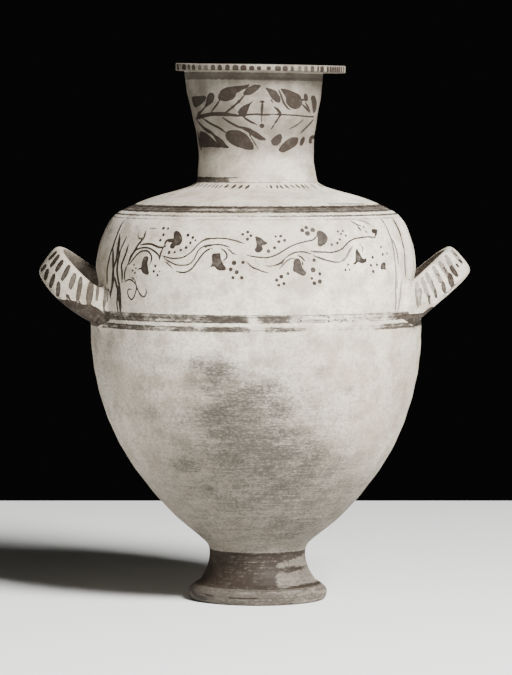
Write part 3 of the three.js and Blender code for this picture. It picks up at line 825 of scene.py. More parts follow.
for root in all_roots:
    outline, centre = root["outline"], root["centre"]
    r = float(radius_at(centre[1]))
    near = np.hypot((middle_turn - centre[0]) * r, middle_s - centre[1]) < 60
    for f in np.nonzero(near)[0]:
        x, y, hit = middle_turn[f], middle_s[f], False
        for (xa, ya), (xb, yb) in zip(outline, np.roll(outline, -1, axis=0)):
            if (ya > y) != (yb > y) and x < (xb - xa) * (y - ya) / (yb - ya) + xa:
                hit = not hit
        open_root[f] |= hit
faces, middle_turn, middle_s = faces[~open_root], middle_turn[~open_root], middle_s[~open_root]
where = {int(c): k for k, c in enumerate(source)}


def painted(turns, s, lines, leaves, spots):
    """How deep each point lies inside the nearest stroke, in millimetres, and its strength."""
    depth, strength = np.full(len(turns), -1.6), np.zeros(len(turns))

    def settle(near, value, tone):
        better = value > depth[near]
        depth[near[better]] = value[better]
        strength[near[better]] = tone

    def close_by(r, low, high):
        x = turns * r
        return np.nonzero((x > low[0] - 2) & (x < high[0] + 2) & (s > low[1] - 2) & (s < high[1] + 2))[0]

    def to_pieces(near, r, a, b):
        p = np.stack([turns[near] * r, s[near]], axis=1)[:, None, :]
        ab = (b - a)[None]
        t = np.clip(((p - a) * ab).sum(-1) / np.maximum((ab * ab).sum(-1), 1e-9), 0, 1)
        return p, t, np.linalg.norm(p - a - ab * t[..., None], axis=-1)

    for r, p, half, tone in lines:
        near = close_by(r, p.min(axis=0), p.max(axis=0))
        if len(near):
            _, t, away = to_pieces(near, r, p[:-1], p[1:])
            settle(near, (half[:-1] * (1 - t) + half[1:] * t - away).max(axis=1), tone)
    for r, p, tone in leaves:
        near = close_by(r, p.min(axis=0), p.max(axis=0))
        if len(near):
            a, b = p, np.roll(p, -1, axis=0)
            q, _, away = to_pieces(near, r, a, b)
            cross = ((a[:, 1] > q[..., 1]) != (b[:, 1] > q[..., 1]))
            with np.errstate(divide="ignore", invalid="ignore"):
                slant = (b[:, 0] - a[:, 0]) * (q[..., 1] - a[:, 1]) / (b[:, 1] - a[:, 1])
                cross &= q[..., 0] < slant + a[:, 0]
            settle(near, away.min(axis=1) * np.where(cross.sum(axis=1) % 2, 1, -1), tone)
    for r, centre, radius, tone in spots:
        near = close_by(r, centre - radius, centre + radius)
        if len(near):
            settle(near, radius - np.hypot(turns[near] * r - centre[0], s[near] - centre[1]), tone)
    return depth, strength


depth, strength = painted(turns, s, lines, leaves, spots)
points = on_wall(turns, s)
height = height_at(s)
outer = ((s > start_outside - 3) & (s < lip_outer[2])).astype(float)

# Bands of the same slip, laid on as the jar turned on the wheel. Each has the rows between
# which it is seen in the middle of the front, how thick it was laid, and how strong it
# still is at columns from left to right.
BANDS = {
    "foot_disc": (590, 608, 0.6, [(190, 1), (215, 0.8), (256, 0.66), (300, 0.5), (325, 0.45)]),
    # the foot's slip is weaker round column 231 as a painted highlight over worn slip
    "foot_slip_and_highlight": (555.5, 590, 0.93, [(200, 1), (222, 0.9), (231, 0.7), (240, 0.85), (262, 0.74),
        (306, 0.95)]),
    "foot_joint": (553.2, 556, 0.98, [(208, 1), (236, 0.9), (270, 0.75), (306, 0.9)]),
    "belly_low": (327, 332.6, 0.88, [(95, 0.6), (140, 0.75), (160, 0.5), (185, 0.6), (200, 0.5),
        (212, 0.85), (242, 0.85), (252, 0.35), (262, 0.35), (270, 0.6), (300, 0.55), (306, 0.2),
        (370, 0.24), (385, 0.6), (400, 0.8), (420, 0.85)]),
    "belly_band": (316.2, 323.6, 0.9, [(90, 0.7), (130, 0.72), (160, 0.6), (195, 0.62), (205, 0.8),
        (215, 1), (238, 1), (245, 0.8), (251, 0.3), (257, 0.35), (263, 0.85), (270, 0.75), (284, 0.9),
        (293, 0.3), (388, 0.35), (396, 0.72), (420, 0.82)]),
    "belly_line": (315.3, 316.3, 0.85, [(90, 0.6), (200, 0.7), (300, 0.55), (350, 0.5), (390, 0.5),
        (420, 0.6)]),
    "line_low": (219.3, 220.4, 0.6, [(115, 0.6), (170, 0.5), (190, 0.4), (290, 0.5), (350, 0.6),
        (400, 0.5)]),
    "line_high": (215.6, 217.2, 0.85, [(112, 0.95), (130, 0.8), (150, 0.5), (200, 0.38), (285, 0.5),
        (310, 0.7), (400, 0.95)]),
    "shoulder_low": (210.8, 213.2, 0.93, [(120, 0.7), (140, 0.9), (250, 0.85), (256, 0.6), (267, 0.62),
        (272, 0.85), (400, 0.8)]),
    "shoulder_mid": (209, 210.9, 0.9, [(120, 0.7), (188, 0.85), (196, 0.5), (216, 0.5), (222, 0.7),
        (232, 0.52), (256, 0.5), (272, 0.55), (284, 0.7), (310, 0.85), (400, 0.8)]),
    "shoulder_top": (206.3, 209.1, 0.95, [(120, 0.8), (150, 1), (300, 1), (380, 0.9), (400, 0.75)]),
    "neck_base": (177.4, 183, 0.86, [(195, 1), (226, 0.95), (229, 0.6), (231, 0.1), (310, 0.1)]),
    "neck_base_line": (177.3, 178.4, 0.9, [(195, 0.9), (230, 0.85), (238, 0.6), (241, 0.1), (310, 0.1)]),
    "neck_foot_line": (182.2, 183.1, 0.6, [(195, 0.9), (228, 0.75), (256, 0.5), (310, 0.5)]),
    "neck_top": (72.5, 80, 0.5, [(185, 0.95), (256, 0.9), (300, 0.95), (325, 0.9)]),
    "neck_top_line": (76.4, 79.6, 0.6, [(185, 0.4), (205, 0.7), (256, 0.9), (310, 0.95), (325, 0.7)]),
}
bands_by_place = {}
for name, (top, bottom, _, strengths) in BANDS.items():
    knots = [seen([(column, (top + bottom) / 2)])[0, 0] for column, _ in strengths]
    bands_by_place[name] = np.interp(turns, knots, [strength_here for _, strength_here in strengths])

# Two patches where the slip on the foot has flaked off to the bare clay
FOOT_RADIUS = 42.0
bare_patches = [
    [(278.5, 563.4), (289.5, 560.4), (304.4, 553.9), (308, 553), (308, 563.9), (294.4, 566.4),
     (278.5, 568.4)],
    [(278, 571.8), (285.5, 573), (297.4, 569.9), (309, 566.9), (316, 578.8), (313, 582.5),
     (301.4, 584.5), (289.5, 587.3), (280.5, 588.3), (275.5, 579)],
]
bare = np.full(len(turns), -3.0)
for patch in bare_patches:
    edge = through(seen(patch) * (FOOT_RADIUS, 1), closed=True)[:-1]
    bare = np.maximum(bare, painted(turns, s, [], [(FOOT_RADIUS, edge, 1.0)], [])[0])

# Stains of burial, mostly low on the front of the belly, together with painted shade: soft darker
# patches on the left of the shoulder and body, on the sides of the neck, at the right edge and over
# the lower body. Each is a soft patch with its column, row, half width, half height and darkness.
STAINS_AND_SHADE = [
    (218, 378, 36, 26, 0.62), (262, 404, 36, 28, 0.8), (228, 415, 40, 22, 0.72), (252, 442, 52, 32, 0.85),
    (296, 454, 48, 30, 0.62), (270, 482, 46, 28, 0.55), (187, 464, 18, 14, 0.4), (196, 362, 9, 6, 0.5),
    (211, 489, 7, 5, 0.6), (290, 526, 30, 16, 0.4), (200, 532, 16, 10, 0.5), (150, 412, 18, 12, 0.2),
    (322, 372, 12, 8, 0.35), (348, 390, 9, 6, 0.3), (168, 362, 18, 12, 0.15), (250, 446, 112, 104, 0.4),
    (256, 540, 190, 110, 0.3), (330, 500, 70, 60, 0.25), (290, 575, 60, 34, 0.3), (150, 198, 66, 22, 0.16),
    (205, 140, 30, 90, 0.04), (318, 130, 26, 90, 0.3), (100, 370, 26, 80, 0.12), (404, 390, 24, 60, 0.08),
    (300, 340, 90, 12, 0.06),
]
stain_and_shade = np.zeros(len(turns))
view = picture(points)
facing = smooth(-points[:, 1], -15, 35)
for column, row, wide, tall, tone in STAINS_AND_SHADE:
    away = np.hypot((view[:, 0] - column) / wide, (view[:, 1] - row) / tall)
    stain_and_shade = 1 - (1 - stain_and_shade) * (1 - tone * (1 - smooth(away, 0.1, 1.2)) * facing)
more = {"bare": bare, "stain_and_shade": stain_and_shade, **bands_by_place}

# Where each part of the wall lies on the flat sheet that carries its colours: the painted
# front takes most of it, the back, the inside and the underside little. A patch has its
# side, its outline lengths, its columns on the sheet, and rows at outline lengths.
SHEET = 1024
body_from, body_to = np.interp([42.5, 327.3], front_z, front_s)
frieze_from = float(np.interp(205, front_z, front_s))
neck_to, lip_end = lip_outer[0], lip_outer[3] + 4
PATCHES = [
    ("front", body_from, body_to, (8, 788), [(body_from, 8), (frieze_from, 240), (body_to, 560)]),
    ("front", body_to, neck_to, (8, 408), [(body_to, 580), (neck_to, 766)]),
    ("front", neck_to, lip_end, (424, 1010), [(neck_to, 580), (lip_end, 642)]),
    ("front", start_outside, body_from, (424, 750), [(start_outside, 656), (body_from, 760)]),
    ("back", body_from, body_to, (8, 408), [(body_from, 782), (body_to, 1012)]),
    ("back", body_to, neck_to, (424, 600), [(body_to, 782), (neck_to, 890)]),
    ("back", neck_to, lip_end, (616, 836), [(neck_to, 782), (lip_end, 838)]),
    ("back", start_outside, body_from, (616, 836), [(start_outside, 854), (body_from, 912)]),
    ("all", -1, start_outside, (770, 1010), [(0, 656), (start_outside, 716)]),
    ("all", lip_end, total_length + 1, (852, 1010), [(lip_end, 732), (total_length, 1012)]),
]
FRONT = math.radians(95)
corner_turn, corner_s = turns[faces], s[faces]
is_front = np.abs(middle_turn) < FRONT
uv = np.zeros((len(faces), 3, 2))
for side, low, high, columns, rows in PATCHES:
    mine = (middle_s >= low) & (middle_s < high)
    if side == "front":
        mine &= is_front
        across = (corner_turn[mine] + FRONT) / (2 * FRONT)
    elif side == "back":
        mine &= ~is_front
        turned = np.where(middle_turn[mine] > 0, 0.0, 2 * math.pi)[:, None] + corner_turn[mine]
        across = (turned - FRONT) / (2 * math.pi - 2 * FRONT)
    else:
        across = (corner_turn[mine] - SEAM + 2 * math.pi) / (2 * math.pi)
    knots = np.array(rows, float)
    step_in = (knots[1, 1] - knots[0, 1]) / (knots[1, 0] - knots[0, 0])
    step_out = (knots[-1, 1] - knots[-2, 1]) / (knots[-1, 0] - knots[-2, 0])
    before = np.minimum(corner_s[mine] - knots[0, 0], 0) * step_in
    after = np.maximum(corner_s[mine] - knots[-1, 0], 0) * step_out
    up = np.interp(corner_s[mine], knots[:, 0], knots[:, 1])
    up += before + after
    uv[mine, :, 0] = (columns[0] + across * (columns[1] - columns[0])) / SHEET
    uv[mine, :, 1] = up / SHEET

# Close the wall round the back and at both ends
twin = {round(float(v), 5): k for k, v in enumerate(s) if turns[k] < SEAM - 2 * math.pi + 1e-6}
merge = np.arange(len(turns))
for k in np.nonzero(turns > SEAM - 1e-6)[0]:
    merge[k] = twin[round(float(s[k]), 5)]
faces = merge[faces]
all_points, all_faces, all_uv = [points], [faces], [uv]
DATA = ["paint", "strength", "outside", "height", *more]
PLAIN = np.array([-1.6, 0.0, 0.0, 0.0, -3.0] + [0.0] * (len(more) - 1))
all_data = [np.stack([depth, strength, outer, height, *more.values()], axis=1)]
count = len(points)
for end in (0.0, total_length):
    ring = np.nonzero((np.abs(s - end) < 1e-6) & (turns < SEAM - 1e-6))[0]
    ring = ring[np.argsort(turns[ring])]
    if end:
        ring = ring[::-1]
    all_points.append(on_wall(turns[ring], s[ring]).mean(axis=0)[None])
    all_data.append(PLAIN[None].copy())
    fan = np.array([(a, count, b) for a, b in zip(ring, np.roll(ring, -1))])
    all_faces.append(fan)
    all_uv.append(np.full((len(fan), 3, 2), (0.99, 0.99) if end else (0.99, 0.65)))
    count += 1

# The slip on the handles: cross strokes over the outer faces, dark undersides, inner faces and
# inner edges, and one stripe up the back handle; the left handle's inner face darkens across its
# width as painted shade. The near arms have their bars as they are seen in the picture: from, to,
# width, strength. The far arms have them evenly spaced.
LEFT_BARS = [
    ((56.2, 251.9), (49.2, 259.6), 1.8, 0.85), ((58.7, 255.6), (50.7, 266.3), 2.4, 0.85),
    ((45.8, 265.1), (41.8, 270.6), 2.1, 0.85), ((62.3, 261.1), (56.2, 270.6), 2.8, 0.85),
    ((47.6, 270), (45.2, 279.2), 2.6, 0.85), ((69.1, 266.3), (62.3, 279.2), 3.2, 0.75),
    ((53.8, 275.5), (50.4, 286.5), 3, 0.85), ((74.6, 274.9), (70.3, 287.8), 3.6, 0.6),
    ((58.7, 282.9), (57.7, 295.1), 3, 0.75), ((81, 278), (77.6, 300), 3.2, 0.65),
    ((66.6, 295.1), (69.1, 297.6), 2.6, 0.75), ((91.1, 283.5), (88.7, 302.5), 4.6, 0.65),
    ((97.9, 285.9), (96.6, 300.6), 2.2, 0.6), ((105.5, 287.2), (104, 307.4), 2, 0.5),
    ((108.4, 286), (107.2, 303), 1.2, 0.5), ((103.4, 299), (104.2, 313), 1.4, 0.6),
]
RIGHT_BARS = [
    ((450.8, 266.9), (456.9, 275.5), 3.7, 0.6), ((449.6, 274.9), (452, 285.3), 4.6, 0.65),
    ((442.9, 282.9), (444.4, 291.4), 3.6, 0.5), ((435.2, 289.6), (436.1, 297.6), 2.4, 0.55),
    ((444.2, 267.9), (444.8, 269.3), 2, 0.8), ((438, 274.5), (438.7, 276), 2, 0.8),
    ((432, 281), (432.5, 282.8), 2, 0.85), ((435.8, 295.3), (436.3, 297.3), 1.9, 0.8),
    ((428.2, 298), (430, 295.8), 1.9, 0.75), ((455, 254), (456.2, 255), 1.5, 0.7),
    ((458.8, 259.6), (462.5, 263), 1.7, 0.85), ((456, 263.9), (458.5, 266.6), 1.8, 0.85),
    ((427.9, 293.9), (430, 304.3), 2, 0.4), ((415.3, 289), (417.8, 307.4), 1.8, 0.25),
    ((421.4, 289), (420.2, 301.2), 1.8, 0.2), ((445.5, 270.5), (447.3, 274), 1.8, 0.5),
    ((439, 277), (440.5, 282), 1.8, 0.4), ((433, 284), (434, 289), 1.8, 0.35),
    ((416.6, 283.5), (419.8, 304.6), 3.6, 0.05), ((422.2, 278.5), (428.5, 297), 3.6, 0.1),
    ((426.6, 273.5), (436, 294.7), 3.8, 0.12), ((433.4, 267.3), (443.4, 286), 3.8, 0.14),
    ((439.7, 262.3), (449.6, 278.5), 3.8, 0.14), ((445.9, 256), (454.6, 272.3), 3.6, 0.12),
    ((452, 251), (461.4, 262.3), 3, 0.12), ((434, 304), (466, 276), 0.9, 0.2),
]
LEFT_UNDER = [
    (40, 296), (62.9, 299.7), (69.7, 300.3), (75.2, 301.2), (82.5, 304.3), (88, 304.9), (96, 306.7),
    (103, 312),
]
RIGHT_UNDER = [
    (410, 314), (422.6, 313), (427, 309.5), (430, 307), (434, 306.5), (470, 330),
]
# The dark underside ends at a row, and slants up from there past the column of the root.
# A column or a row is 0.78 mm wide at the jar.
left_slip = {"bars": LEFT_BARS, "under": LEFT_UNDER, "root_column": 97, "way": 1, "slant": 0.5,
             "widen": 1.5, "darken": 0.12, "far_bars": 0.7, "edge": 0.7}
right_slip = {"bars": RIGHT_BARS, "under": RIGHT_UNDER, "root_column": 416, "way": -1, "slant": 0.6,
              "widen": 1.25, "darken": 0.36, "far_bars": 0.5, "edge": 0.45}
COLUMN_WIDTH = 0.78
LIMIT_ROW = 327
STRAP_LENGTH = 150
BAR_SPACING = 8.2


def paint_strap(number, handle, strap, angle, flow):
    """Depth and strength of the slip at each point of a strap."""
    facing = np.broadcast_to(soften(np.sin(angle)) * handle["thickness"] / 2, strap.shape[:2]).copy()
    level = np.broadcast_to(soften(np.cos(angle)) * handle["width"] / 2, strap.shape[:2])
    if number == 0:
        facing = -facing
    depth, tone = np.full(strap.shape[:2], -1.6), np.zeros(strap.shape[:2])

    def settle(value, strength_here):
        better = value > depth
        depth[better] = value[better]
        tone[better] = np.broadcast_to(strength_here, tone.shape)[better]

    if number == 2:
        settle(np.where(np.abs(flow[:, None] - 0.5) < 0.44, 3.0 - np.abs(level), -1.6), 0.8)
        return depth.reshape(-1), tone.reshape(-1)
    slip = (left_slip, right_slip)[number]
    # dark slip on the inner faces; on the left handle it darkens across the width as painted shade
    settle(-1.5 - facing, (0.8 - 0.013 * level, 0.95)[number])
    seen_at = picture(strap)
    near = (strap[..., 1] < 3) & (facing > -2.5)
    line = np.interp(seen_at[..., 0], *np.array(slip["under"]).T)
    past_root = slip["way"] * (seen_at[..., 0] - slip["root_column"])
    limit = LIMIT_ROW - slip["slant"] * np.maximum(past_root, 0)
    under = np.minimum(seen_at[..., 1] - line, limit - seen_at[..., 1]) * COLUMN_WIDTH
    settle(np.where(near, under, -1.6), 0.96)
    for start, end, width, strength_here in sorted(slip["bars"], key=lambda bar: bar[3]):
        a, ab = np.array(start), np.array(end) - np.array(start)
        t = np.clip(((seen_at - a) @ ab) / (ab @ ab), 0, 1)
        away = np.linalg.norm(seen_at - a - t[..., None] * ab, axis=-1)
        blunt = slip["widen"] * width / 2 * (0.75 + 0.25 * smooth(1 - np.abs(2 * t - 1), 0, 0.5))
        value = np.where(near, (blunt - away) * COLUMN_WIDTH, -1.6)
        depth[value > 0] = -1.6
        settle(value, min(slip["darken"] + strength_here, 0.98))
    run = flow[:, None] * STRAP_LENGTH
    bar = 1.1 - np.abs((run + 0.7 * np.sin(level / 4)) % BAR_SPACING - BAR_SPACING / 2)
    far_arm = (strap[..., 1] > 6) & (facing > 0)
    settle(np.where(far_arm, np.minimum(bar, 11 - np.abs(level)), -1.6), slip["far_bars"])
    settle(np.where(strap[..., 1] > 0, -9.5 - level, -1.6), slip["edge"])
    depth = np.where(near, np.minimum(depth, (limit + 1 - seen_at[..., 1]) * COLUMN_WIDTH), depth)
    return depth.reshape(-1), tone.reshape(-1)


# The straps' surface: a smoothed joint at either root, and the pulled length between. Each
# strap has its own columns and rows on the sheet that carries the colours.
HANDLE_PATCHES = [((804, 900), (8, 286)), ((916, 1012), (8, 286)), ((804, 900), (300, 560))]
JOINT = 7
stain_and_shade_on = DATA.index("stain_and_shade")
for number, ((handle, angle, roots), (columns, rows)) in enumerate(zip(handles, HANDLE_PATCHES)):
    rings, at_wall = [], []
    for root, at_start in zip(roots, (True, False)):
        first = first_of_outline[2 * number + (0 if at_start else 1)]
        at_wall.append([where[first + k] for k in range(AROUND)])
        wall_edge = points[at_wall[-1]]
        clear = strap_point(handle, root["clear"], angle)
        t = (np.arange(1, JOINT) / JOINT)[:, None, None]
        pull_a = wall_edge + 0.62 * (root["foot"] - wall_edge)
        pull_b = clear + 0.62 * (root["foot"] - clear)
        joint = (1 - t) ** 3 * wall_edge + 3 * (1 - t) ** 2 * t * pull_a
        joint = joint + 3 * (1 - t) * t * t * pull_b + t ** 3 * clear
        rings.append(joint if at_start else joint[::-1])
    along = np.linspace(0, 1, handle["stations"] + 1)[:, None]
    stations = roots[0]["clear"] * (1 - along) + roots[1]["clear"] * along
    length = strap_point(handle, stations, np.broadcast_to(angle, stations.shape))
    strap_points = np.concatenate([rings[0], length, rings[1]])
    total = len(strap_points)
    index = count + np.arange(total * AROUND).reshape(total, AROUND)
    index = np.concatenate([[at_wall[0]], index, [at_wall[1]]])
    around = np.arange(AROUND)
    following = (around + 1) % AROUND
    corners, corner_uv = [], []
    full = total + 1
    for j in range(full):
        a, b = index[j, around], index[j, following]
        c, d = index[j + 1, following], index[j + 1, around]
        u0, u1 = around / AROUND, (around + 1) / AROUND
        v0, v1 = np.full(AROUND, j / full), np.full(AROUND, (j + 1) / full)
        halves = (((a, b, c), (u0, u1, u1), (v0, v0, v1)), ((a, c, d), (u0, u1, u0), (v0, v1, v1)))
        for three, us, vs in halves:
            corners.append(np.stack(three, axis=1))
            corner_uv.append(np.stack([np.stack(us, axis=1), np.stack(vs, axis=1)], axis=2))
    corners, corner_uv = np.concatenate(corners), np.concatenate(corner_uv)
    corner_uv[..., 0] = (columns[0] + corner_uv[..., 0] * (columns[1] - columns[0])) / SHEET
    corner_uv[..., 1] = (rows[0] + corner_uv[..., 1] * (rows[1] - rows[0])) / SHEET
    flow = np.concatenate([np.zeros(JOINT - 1), along[:, 0], np.ones(JOINT - 1)])
    all_points.append(strap_points.reshape(-1, 3))
    all_faces.append(corners)
    all_uv.append(corner_uv)
    data = np.tile(PLAIN, (total * AROUND, 1))
    data[:, 0], data[:, 1] = paint_strap(number, handle, strap_points, angle, flow)
    data[:, DATA.index("height")] = strap_points.reshape(-1, 3)[:, 2]
    data[:, stain_and_shade_on] = 0.12
    joint_size = (JOINT - 1) * AROUND
    for part, edge in ((slice(0, joint_size), at_wall[0]), (slice(-joint_size, None), at_wall[1])):
        data[part, DATA.index("outside")] = 1.0
        data[part, stain_and_shade_on:] = np.tile(all_data[0][edge][:, stain_and_shade_on:], (JOINT - 1, 1))
    all_data.append(data)
    count += total * AROUND

# The jar: wall and straps as one closed surface of clay
MM = 0.001
points, faces, uv, data = (np.concatenate(x) for x in (all_points, all_faces, all_uv, all_data))
used = np.unique(faces)
renumber = np.full(len(points), -1)
renumber[used] = np.arange(len(used))
points, data, faces = points[used], data[used], renumber[faces]
mesh = bpy.data.meshes.new("jar_of_fired_clay")
mesh.from_pydata(points * MM, [], faces.tolist())
mesh.polygons.foreach_set("use_smooth", np.ones(len(faces), bool))
for column, name in enumerate(DATA):
    values = data[:, column].astype(np.float32)
    mesh.attributes.new(name, "FLOAT", "POINT").data.foreach_set("value", values)
mesh.uv_layers.new(name="OFBake").data.foreach_set("uv", uv.reshape(-1).astype(np.float32))
skin = bmesh.new()
skin.from_mesh(mesh)
bmesh.ops.recalc_face_normals(skin, faces=skin.faces)
skin.to_mesh(mesh)
skin.free()
jar = bpy.data.objects.new("jar_of_fired_clay", mesh)
bpy.context.scene.collection.objects.link(jar)
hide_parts("hydria")
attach(jar, "root")

# The finish: matt buff clay, greyer on the neck, with painted shade darker low down, stained, with
# more painted shade among the stains, and pitted, with the brown slip over it, which is a little
# smoother where it lies thick.
clay = bpy.data.materials.new("buff_clay_with_brown_slip")
clay.use_nodes = True
tree = clay.node_tree
shade = tree.nodes["Principled BSDF"]
link = tree.links.new
place = tree.nodes.new("ShaderNodeTexCoord")


def put(socket, value):
    """Sets a socket, or joins another node's output to it."""
    if isinstance(value, bpy.types.NodeSocket):
        link(value, socket)
    else:
        socket.default_value = value


def maths(kind, a, b=0.0, c=0.0):
    node = tree.nodes.new("ShaderNodeMath")
    node.operation = kind
    for socket, value in zip(node.inputs, (a, b, c)):
        put(socket, value)
    return node.outputs[0]


def times(a, b):
    return maths("MULTIPLY", a, b)


def plus(a, b):
    return maths("ADD", a, b)


def fuller(value, power):
    """Brings a cover of 0 to 1 nearer to full."""
    return maths("SUBTRACT", 1.0, maths("POWER", maths("SUBTRACT", 1.0, value), power))


def reading(name):
    """A value that the mesh carries at its points."""
    node = tree.nodes.new("ShaderNodeAttribute")
    node.attribute_name = name
    return node.outputs["Fac"]


def grain(scale, stretch=(1, 1, 1), detail=4.0, rough=0.55, move=(0, 0, 0)):
    """Cloudy unevenness in the clay, from its place on the jar."""
    mapping = tree.nodes.new("ShaderNodeMapping")
    link(place.outputs["Object"], mapping.inputs["Vector"])
    mapping.inputs["Scale"].default_value = stretch
    mapping.inputs["Location"].default_value = move
    node = tree.nodes.new("ShaderNodeTexNoise")
    link(mapping.outputs[0], node.inputs["Vector"])
    node.inputs["Scale"].default_value = scale
    node.inputs["Detail"].default_value = detail
    node.inputs["Roughness"].default_value = rough
    return node.outputs["Fac"]


def ramp_between(value, low, high, out_low=0.0, out_high=1.0):
    """A soft step of one value between two others."""
    node = tree.nodes.new("ShaderNodeMapRange")
    node.interpolation_type = "SMOOTHSTEP"
    names = ("Value", "From Min", "From Max", "To Min", "To Max")
    for name, given in zip(names, (value, low, high, out_low, out_high)):
        put(node.inputs[name], given)
    return node.outputs[0]


def blend(factor, a, b):
    """Colour a going over to colour b."""
    node = tree.nodes.new("ShaderNodeMix")
    node.data_type = "RGBA"
    put(node.inputs["Factor"], factor)
    put(node.inputs[6], a)
    put(node.inputs[7], b)
    return node.outputs[2]


tall = reading("height")
clouds = grain(9, detail=5)
mottle = grain(55, detail=6, rough=0.65)
fine = grain(430, detail=7, rough=0.8)
streaks = grain(7, stretch=(1, 1, 28), detail=6, rough=0.7)
base = blend(ramp_between(clouds, 0.36, 0.64), (0.55, 0.48, 0.385, 1), (0.77, 0.71, 0.60, 1))
base = blend(ramp_between(mottle, 0.42, 0.64, 0, 0.7), base, (0.34, 0.285, 0.215, 1))
base = blend(ramp_between(streaks, 0.45, 0.72, 0, 0.32), base, (0.42, 0.36, 0.28, 1))
rougher = ramp_between(tall, 140, 260, 0.75, 0.42)
base = blend(times(ramp_between(fine, 0.44, 0.62), rougher), base, (0.30, 0.25, 0.19, 1))

# Stains together with painted shade, painted shade darker towards the bottom, the greyer clay of the neck,
# and small pits
pitted = ramp_between(grain(46, stretch=(1, 1, 1.7), detail=8, rough=0.75), 0.4, 0.6, 0.55, 1.0)
specks = ramp_between(grain(420, stretch=(1, 1, 2.0), detail=5, rough=0.8), 0.42, 0.6, 1.0, 0.42)
combed = ramp_between(grain(42, stretch=(1, 1, 15), detail=4, rough=0.6), 0.45, 0.6, 1.0, 0.7)
# the stain patches carry painted shade as well as real stains
soiled_and_shaded = fuller(times(times(reading("stain_and_shade"), combed), times(pitted, specks)), 4.2)
# painted shade: the clay made darker towards the bottom
shade_low_down = times(ramp_between(tall, 45, 200, 0.66, 0), ramp_between(mottle, 0.35, 0.65, 1, 0.8))
base = blend(shade_low_down, base, (0.15, 0.13, 0.108, 1))
base = blend(soiled_and_shaded, base, (0.07, 0.061, 0.05, 1))
upper = plus(ramp_between(tall, 322, 338, 0, 0.3), ramp_between(tall, 340, 358, 0, 0.7))
base = blend(times(upper, ramp_between(mottle, 0.35, 0.65, 0.78, 0.93)), base, (0.125, 0.107, 0.086, 1))
pits = ramp_between(grain(400, detail=1), 0.69, 0.74, 0, 0.4)
base = blend(pits, base, (0.14, 0.115, 0.088, 1))

# Bands of slip between their heights, with the gaps that brush and wear have left
brushing = grain(12, stretch=(1, 1, 70), detail=6, rough=0.7, move=(3, 1, 2))
wavy = plus(tall, maths("MULTIPLY_ADD", grain(330, stretch=(1, 1, 0.3), detail=3, rough=0.6), 1.5, -0.75))
worn = grain(240, stretch=(1, 1, 1.7), detail=4, rough=0.7)
gaps = maths("MULTIPLY_ADD", plus(times(brushing, 0.7), times(worn, 0.6)), -2.0, 0.75)
gaps = maths("MULTIPLY_ADD", grain(105, stretch=(1, 1, 3), detail=6, rough=0.75), 1.1, gaps)
bands = 0.0
for name, (top, bottom, opacity, _) in BANDS.items():
    low = -1.0 if name == "foot_disc" else float(height_at(seen([(front_column, bottom)])[0, 1]))
    high = float(height_at(seen([(front_column, top)])[0, 1]))
    soft = min(0.3, (high - low) / 6)
    above = ramp_between(wavy, low - soft, low + soft)
    below = ramp_between(wavy, high - soft, high + soft, 1, 0)
    covered = ramp_between(plus(reading(name), gaps), 0.12, 0.8, 0, opacity)
    bands = maths("MAXIMUM", bands, times(times(above, below), covered))
bands = times(bands, reading("outside"))
thin = ramp_between(grain(85, stretch=(1, 1, 1.6), detail=6, rough=0.65), 0.42, 0.64, 1, 0.86)
ragged = maths("MULTIPLY_ADD", grain(150, stretch=(1, 1, 3), detail=7, rough=0.75), 11.0, -5.5)
flaked = ramp_between(plus(reading("bare"), ragged), -0.6, 0.5, 1, 0.25)
bands = times(times(bands, thin), flaked)

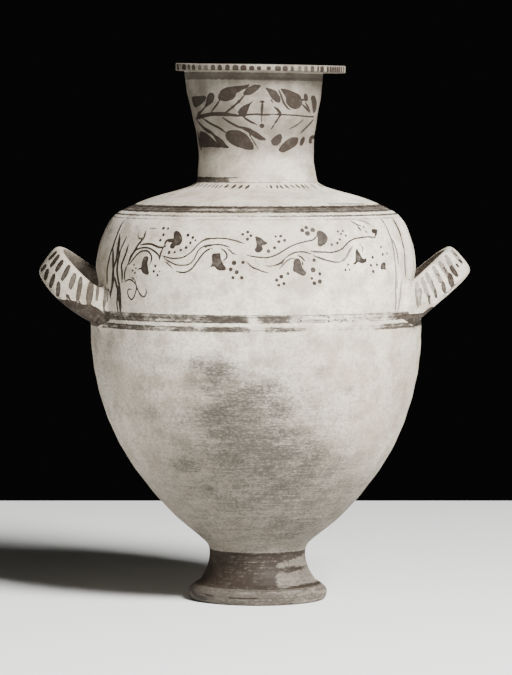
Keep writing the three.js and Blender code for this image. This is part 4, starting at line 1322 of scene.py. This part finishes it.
# Strokes, a little uneven at the edge and in their cover, then bands and strokes together
pooled = ramp_between(reading("paint"), 0.25, 1.3, 1.04, 0.93)
edge = plus(reading("paint"), maths("MULTIPLY_ADD", grain(700, detail=2), 0.7, -0.35))
strokes = times(times(ramp_between(edge, -0.12, 0.16), reading("strength")), pooled)
strokes = times(strokes, ramp_between(grain(230, detail=5, rough=0.75), 0.4, 0.68, 1.05, 0.84))
slip = fuller(maths("MINIMUM", maths("MAXIMUM", bands, strokes), 0.985), 1.5)
put(shade.inputs["Base Color"], blend(slip, base, (0.024, 0.0165, 0.0115, 1)))
put(shade.inputs["Roughness"], maths("MULTIPLY_ADD", slip, -0.22, 0.82))
shade.inputs["Specular IOR Level"].default_value = 0.16
bump = tree.nodes.new("ShaderNodeBump")
bump.inputs["Strength"].default_value = 0.35
bump.inputs["Distance"].default_value = 0.0006
wheel = grain(6, stretch=(1, 1, 60), detail=4, rough=0.6)
put(bump.inputs["Height"], plus(times(wheel, 0.8), times(fine, 0.5)))
put(shade.inputs["Normal"], bump.outputs[0])
mesh.materials.append(clay)

# A plain pale floor that ends a little behind the jar, and soft light: one large lamp
# from the upper right, a weak one from the left, and nearly dark surroundings.
floor_mesh = bpy.data.meshes.new("floor")
floor_mesh.from_pydata([(-3, -3, 0), (3, -3, 0), (3, 0.8, 0), (-3, 0.8, 0)], [], [(0, 1, 2, 3)])
floor = bpy.data.objects.new("floor", floor_mesh)
bpy.context.scene.collection.objects.link(floor)
pale = bpy.data.materials.new("pale_floor")
pale.use_nodes = True
pale_shade = pale.node_tree.nodes["Principled BSDF"]
pale_shade.inputs["Base Color"].default_value = (0.9, 0.9, 0.88, 1)
pale_shade.inputs["Roughness"].default_value = 0.9
floor_mesh.materials.append(pale)


def lamp(name, at, towards, size, power):
    light = bpy.data.lights.new(name, "AREA")
    light.size = size
    light.energy = power
    holder = bpy.data.objects.new(name, light)
    holder.location = at
    holder.rotation_euler = (Vector(towards) - Vector(at)).to_track_quat("-Z", "Y").to_euler()
    bpy.context.scene.collection.objects.link(holder)


lamp("key", (1.3, -1.9, 2.0), (0, 0, 0.22), 0.9, 320)
lamp("fill", (-1.8, -1.6, 0.9), (0, 0, 0.2), 1.4, 4)
world = bpy.data.worlds.new("room")
bpy.context.scene.world = world
world.use_nodes = True
world.node_tree.nodes["Background"].inputs["Color"].default_value = (0.003, 0.003, 0.003, 1)

# The camera stands at the painter's eye and looks down a little
SENSOR = 36
SHEET_ROWS = 675
camera_data = bpy.data.cameras.new("camera")
camera_data.sensor_width = SENSOR
camera_data.lens = SENSOR * REACH / SHEET_ROWS
camera = bpy.data.objects.new("camera", camera_data)
camera.location = EYE * MM
camera.rotation_euler = (math.pi / 2 - LOOK_DOWN, 0, 0)
bpy.context.scene.collection.objects.link(camera)
bpy.context.scene.camera = camera
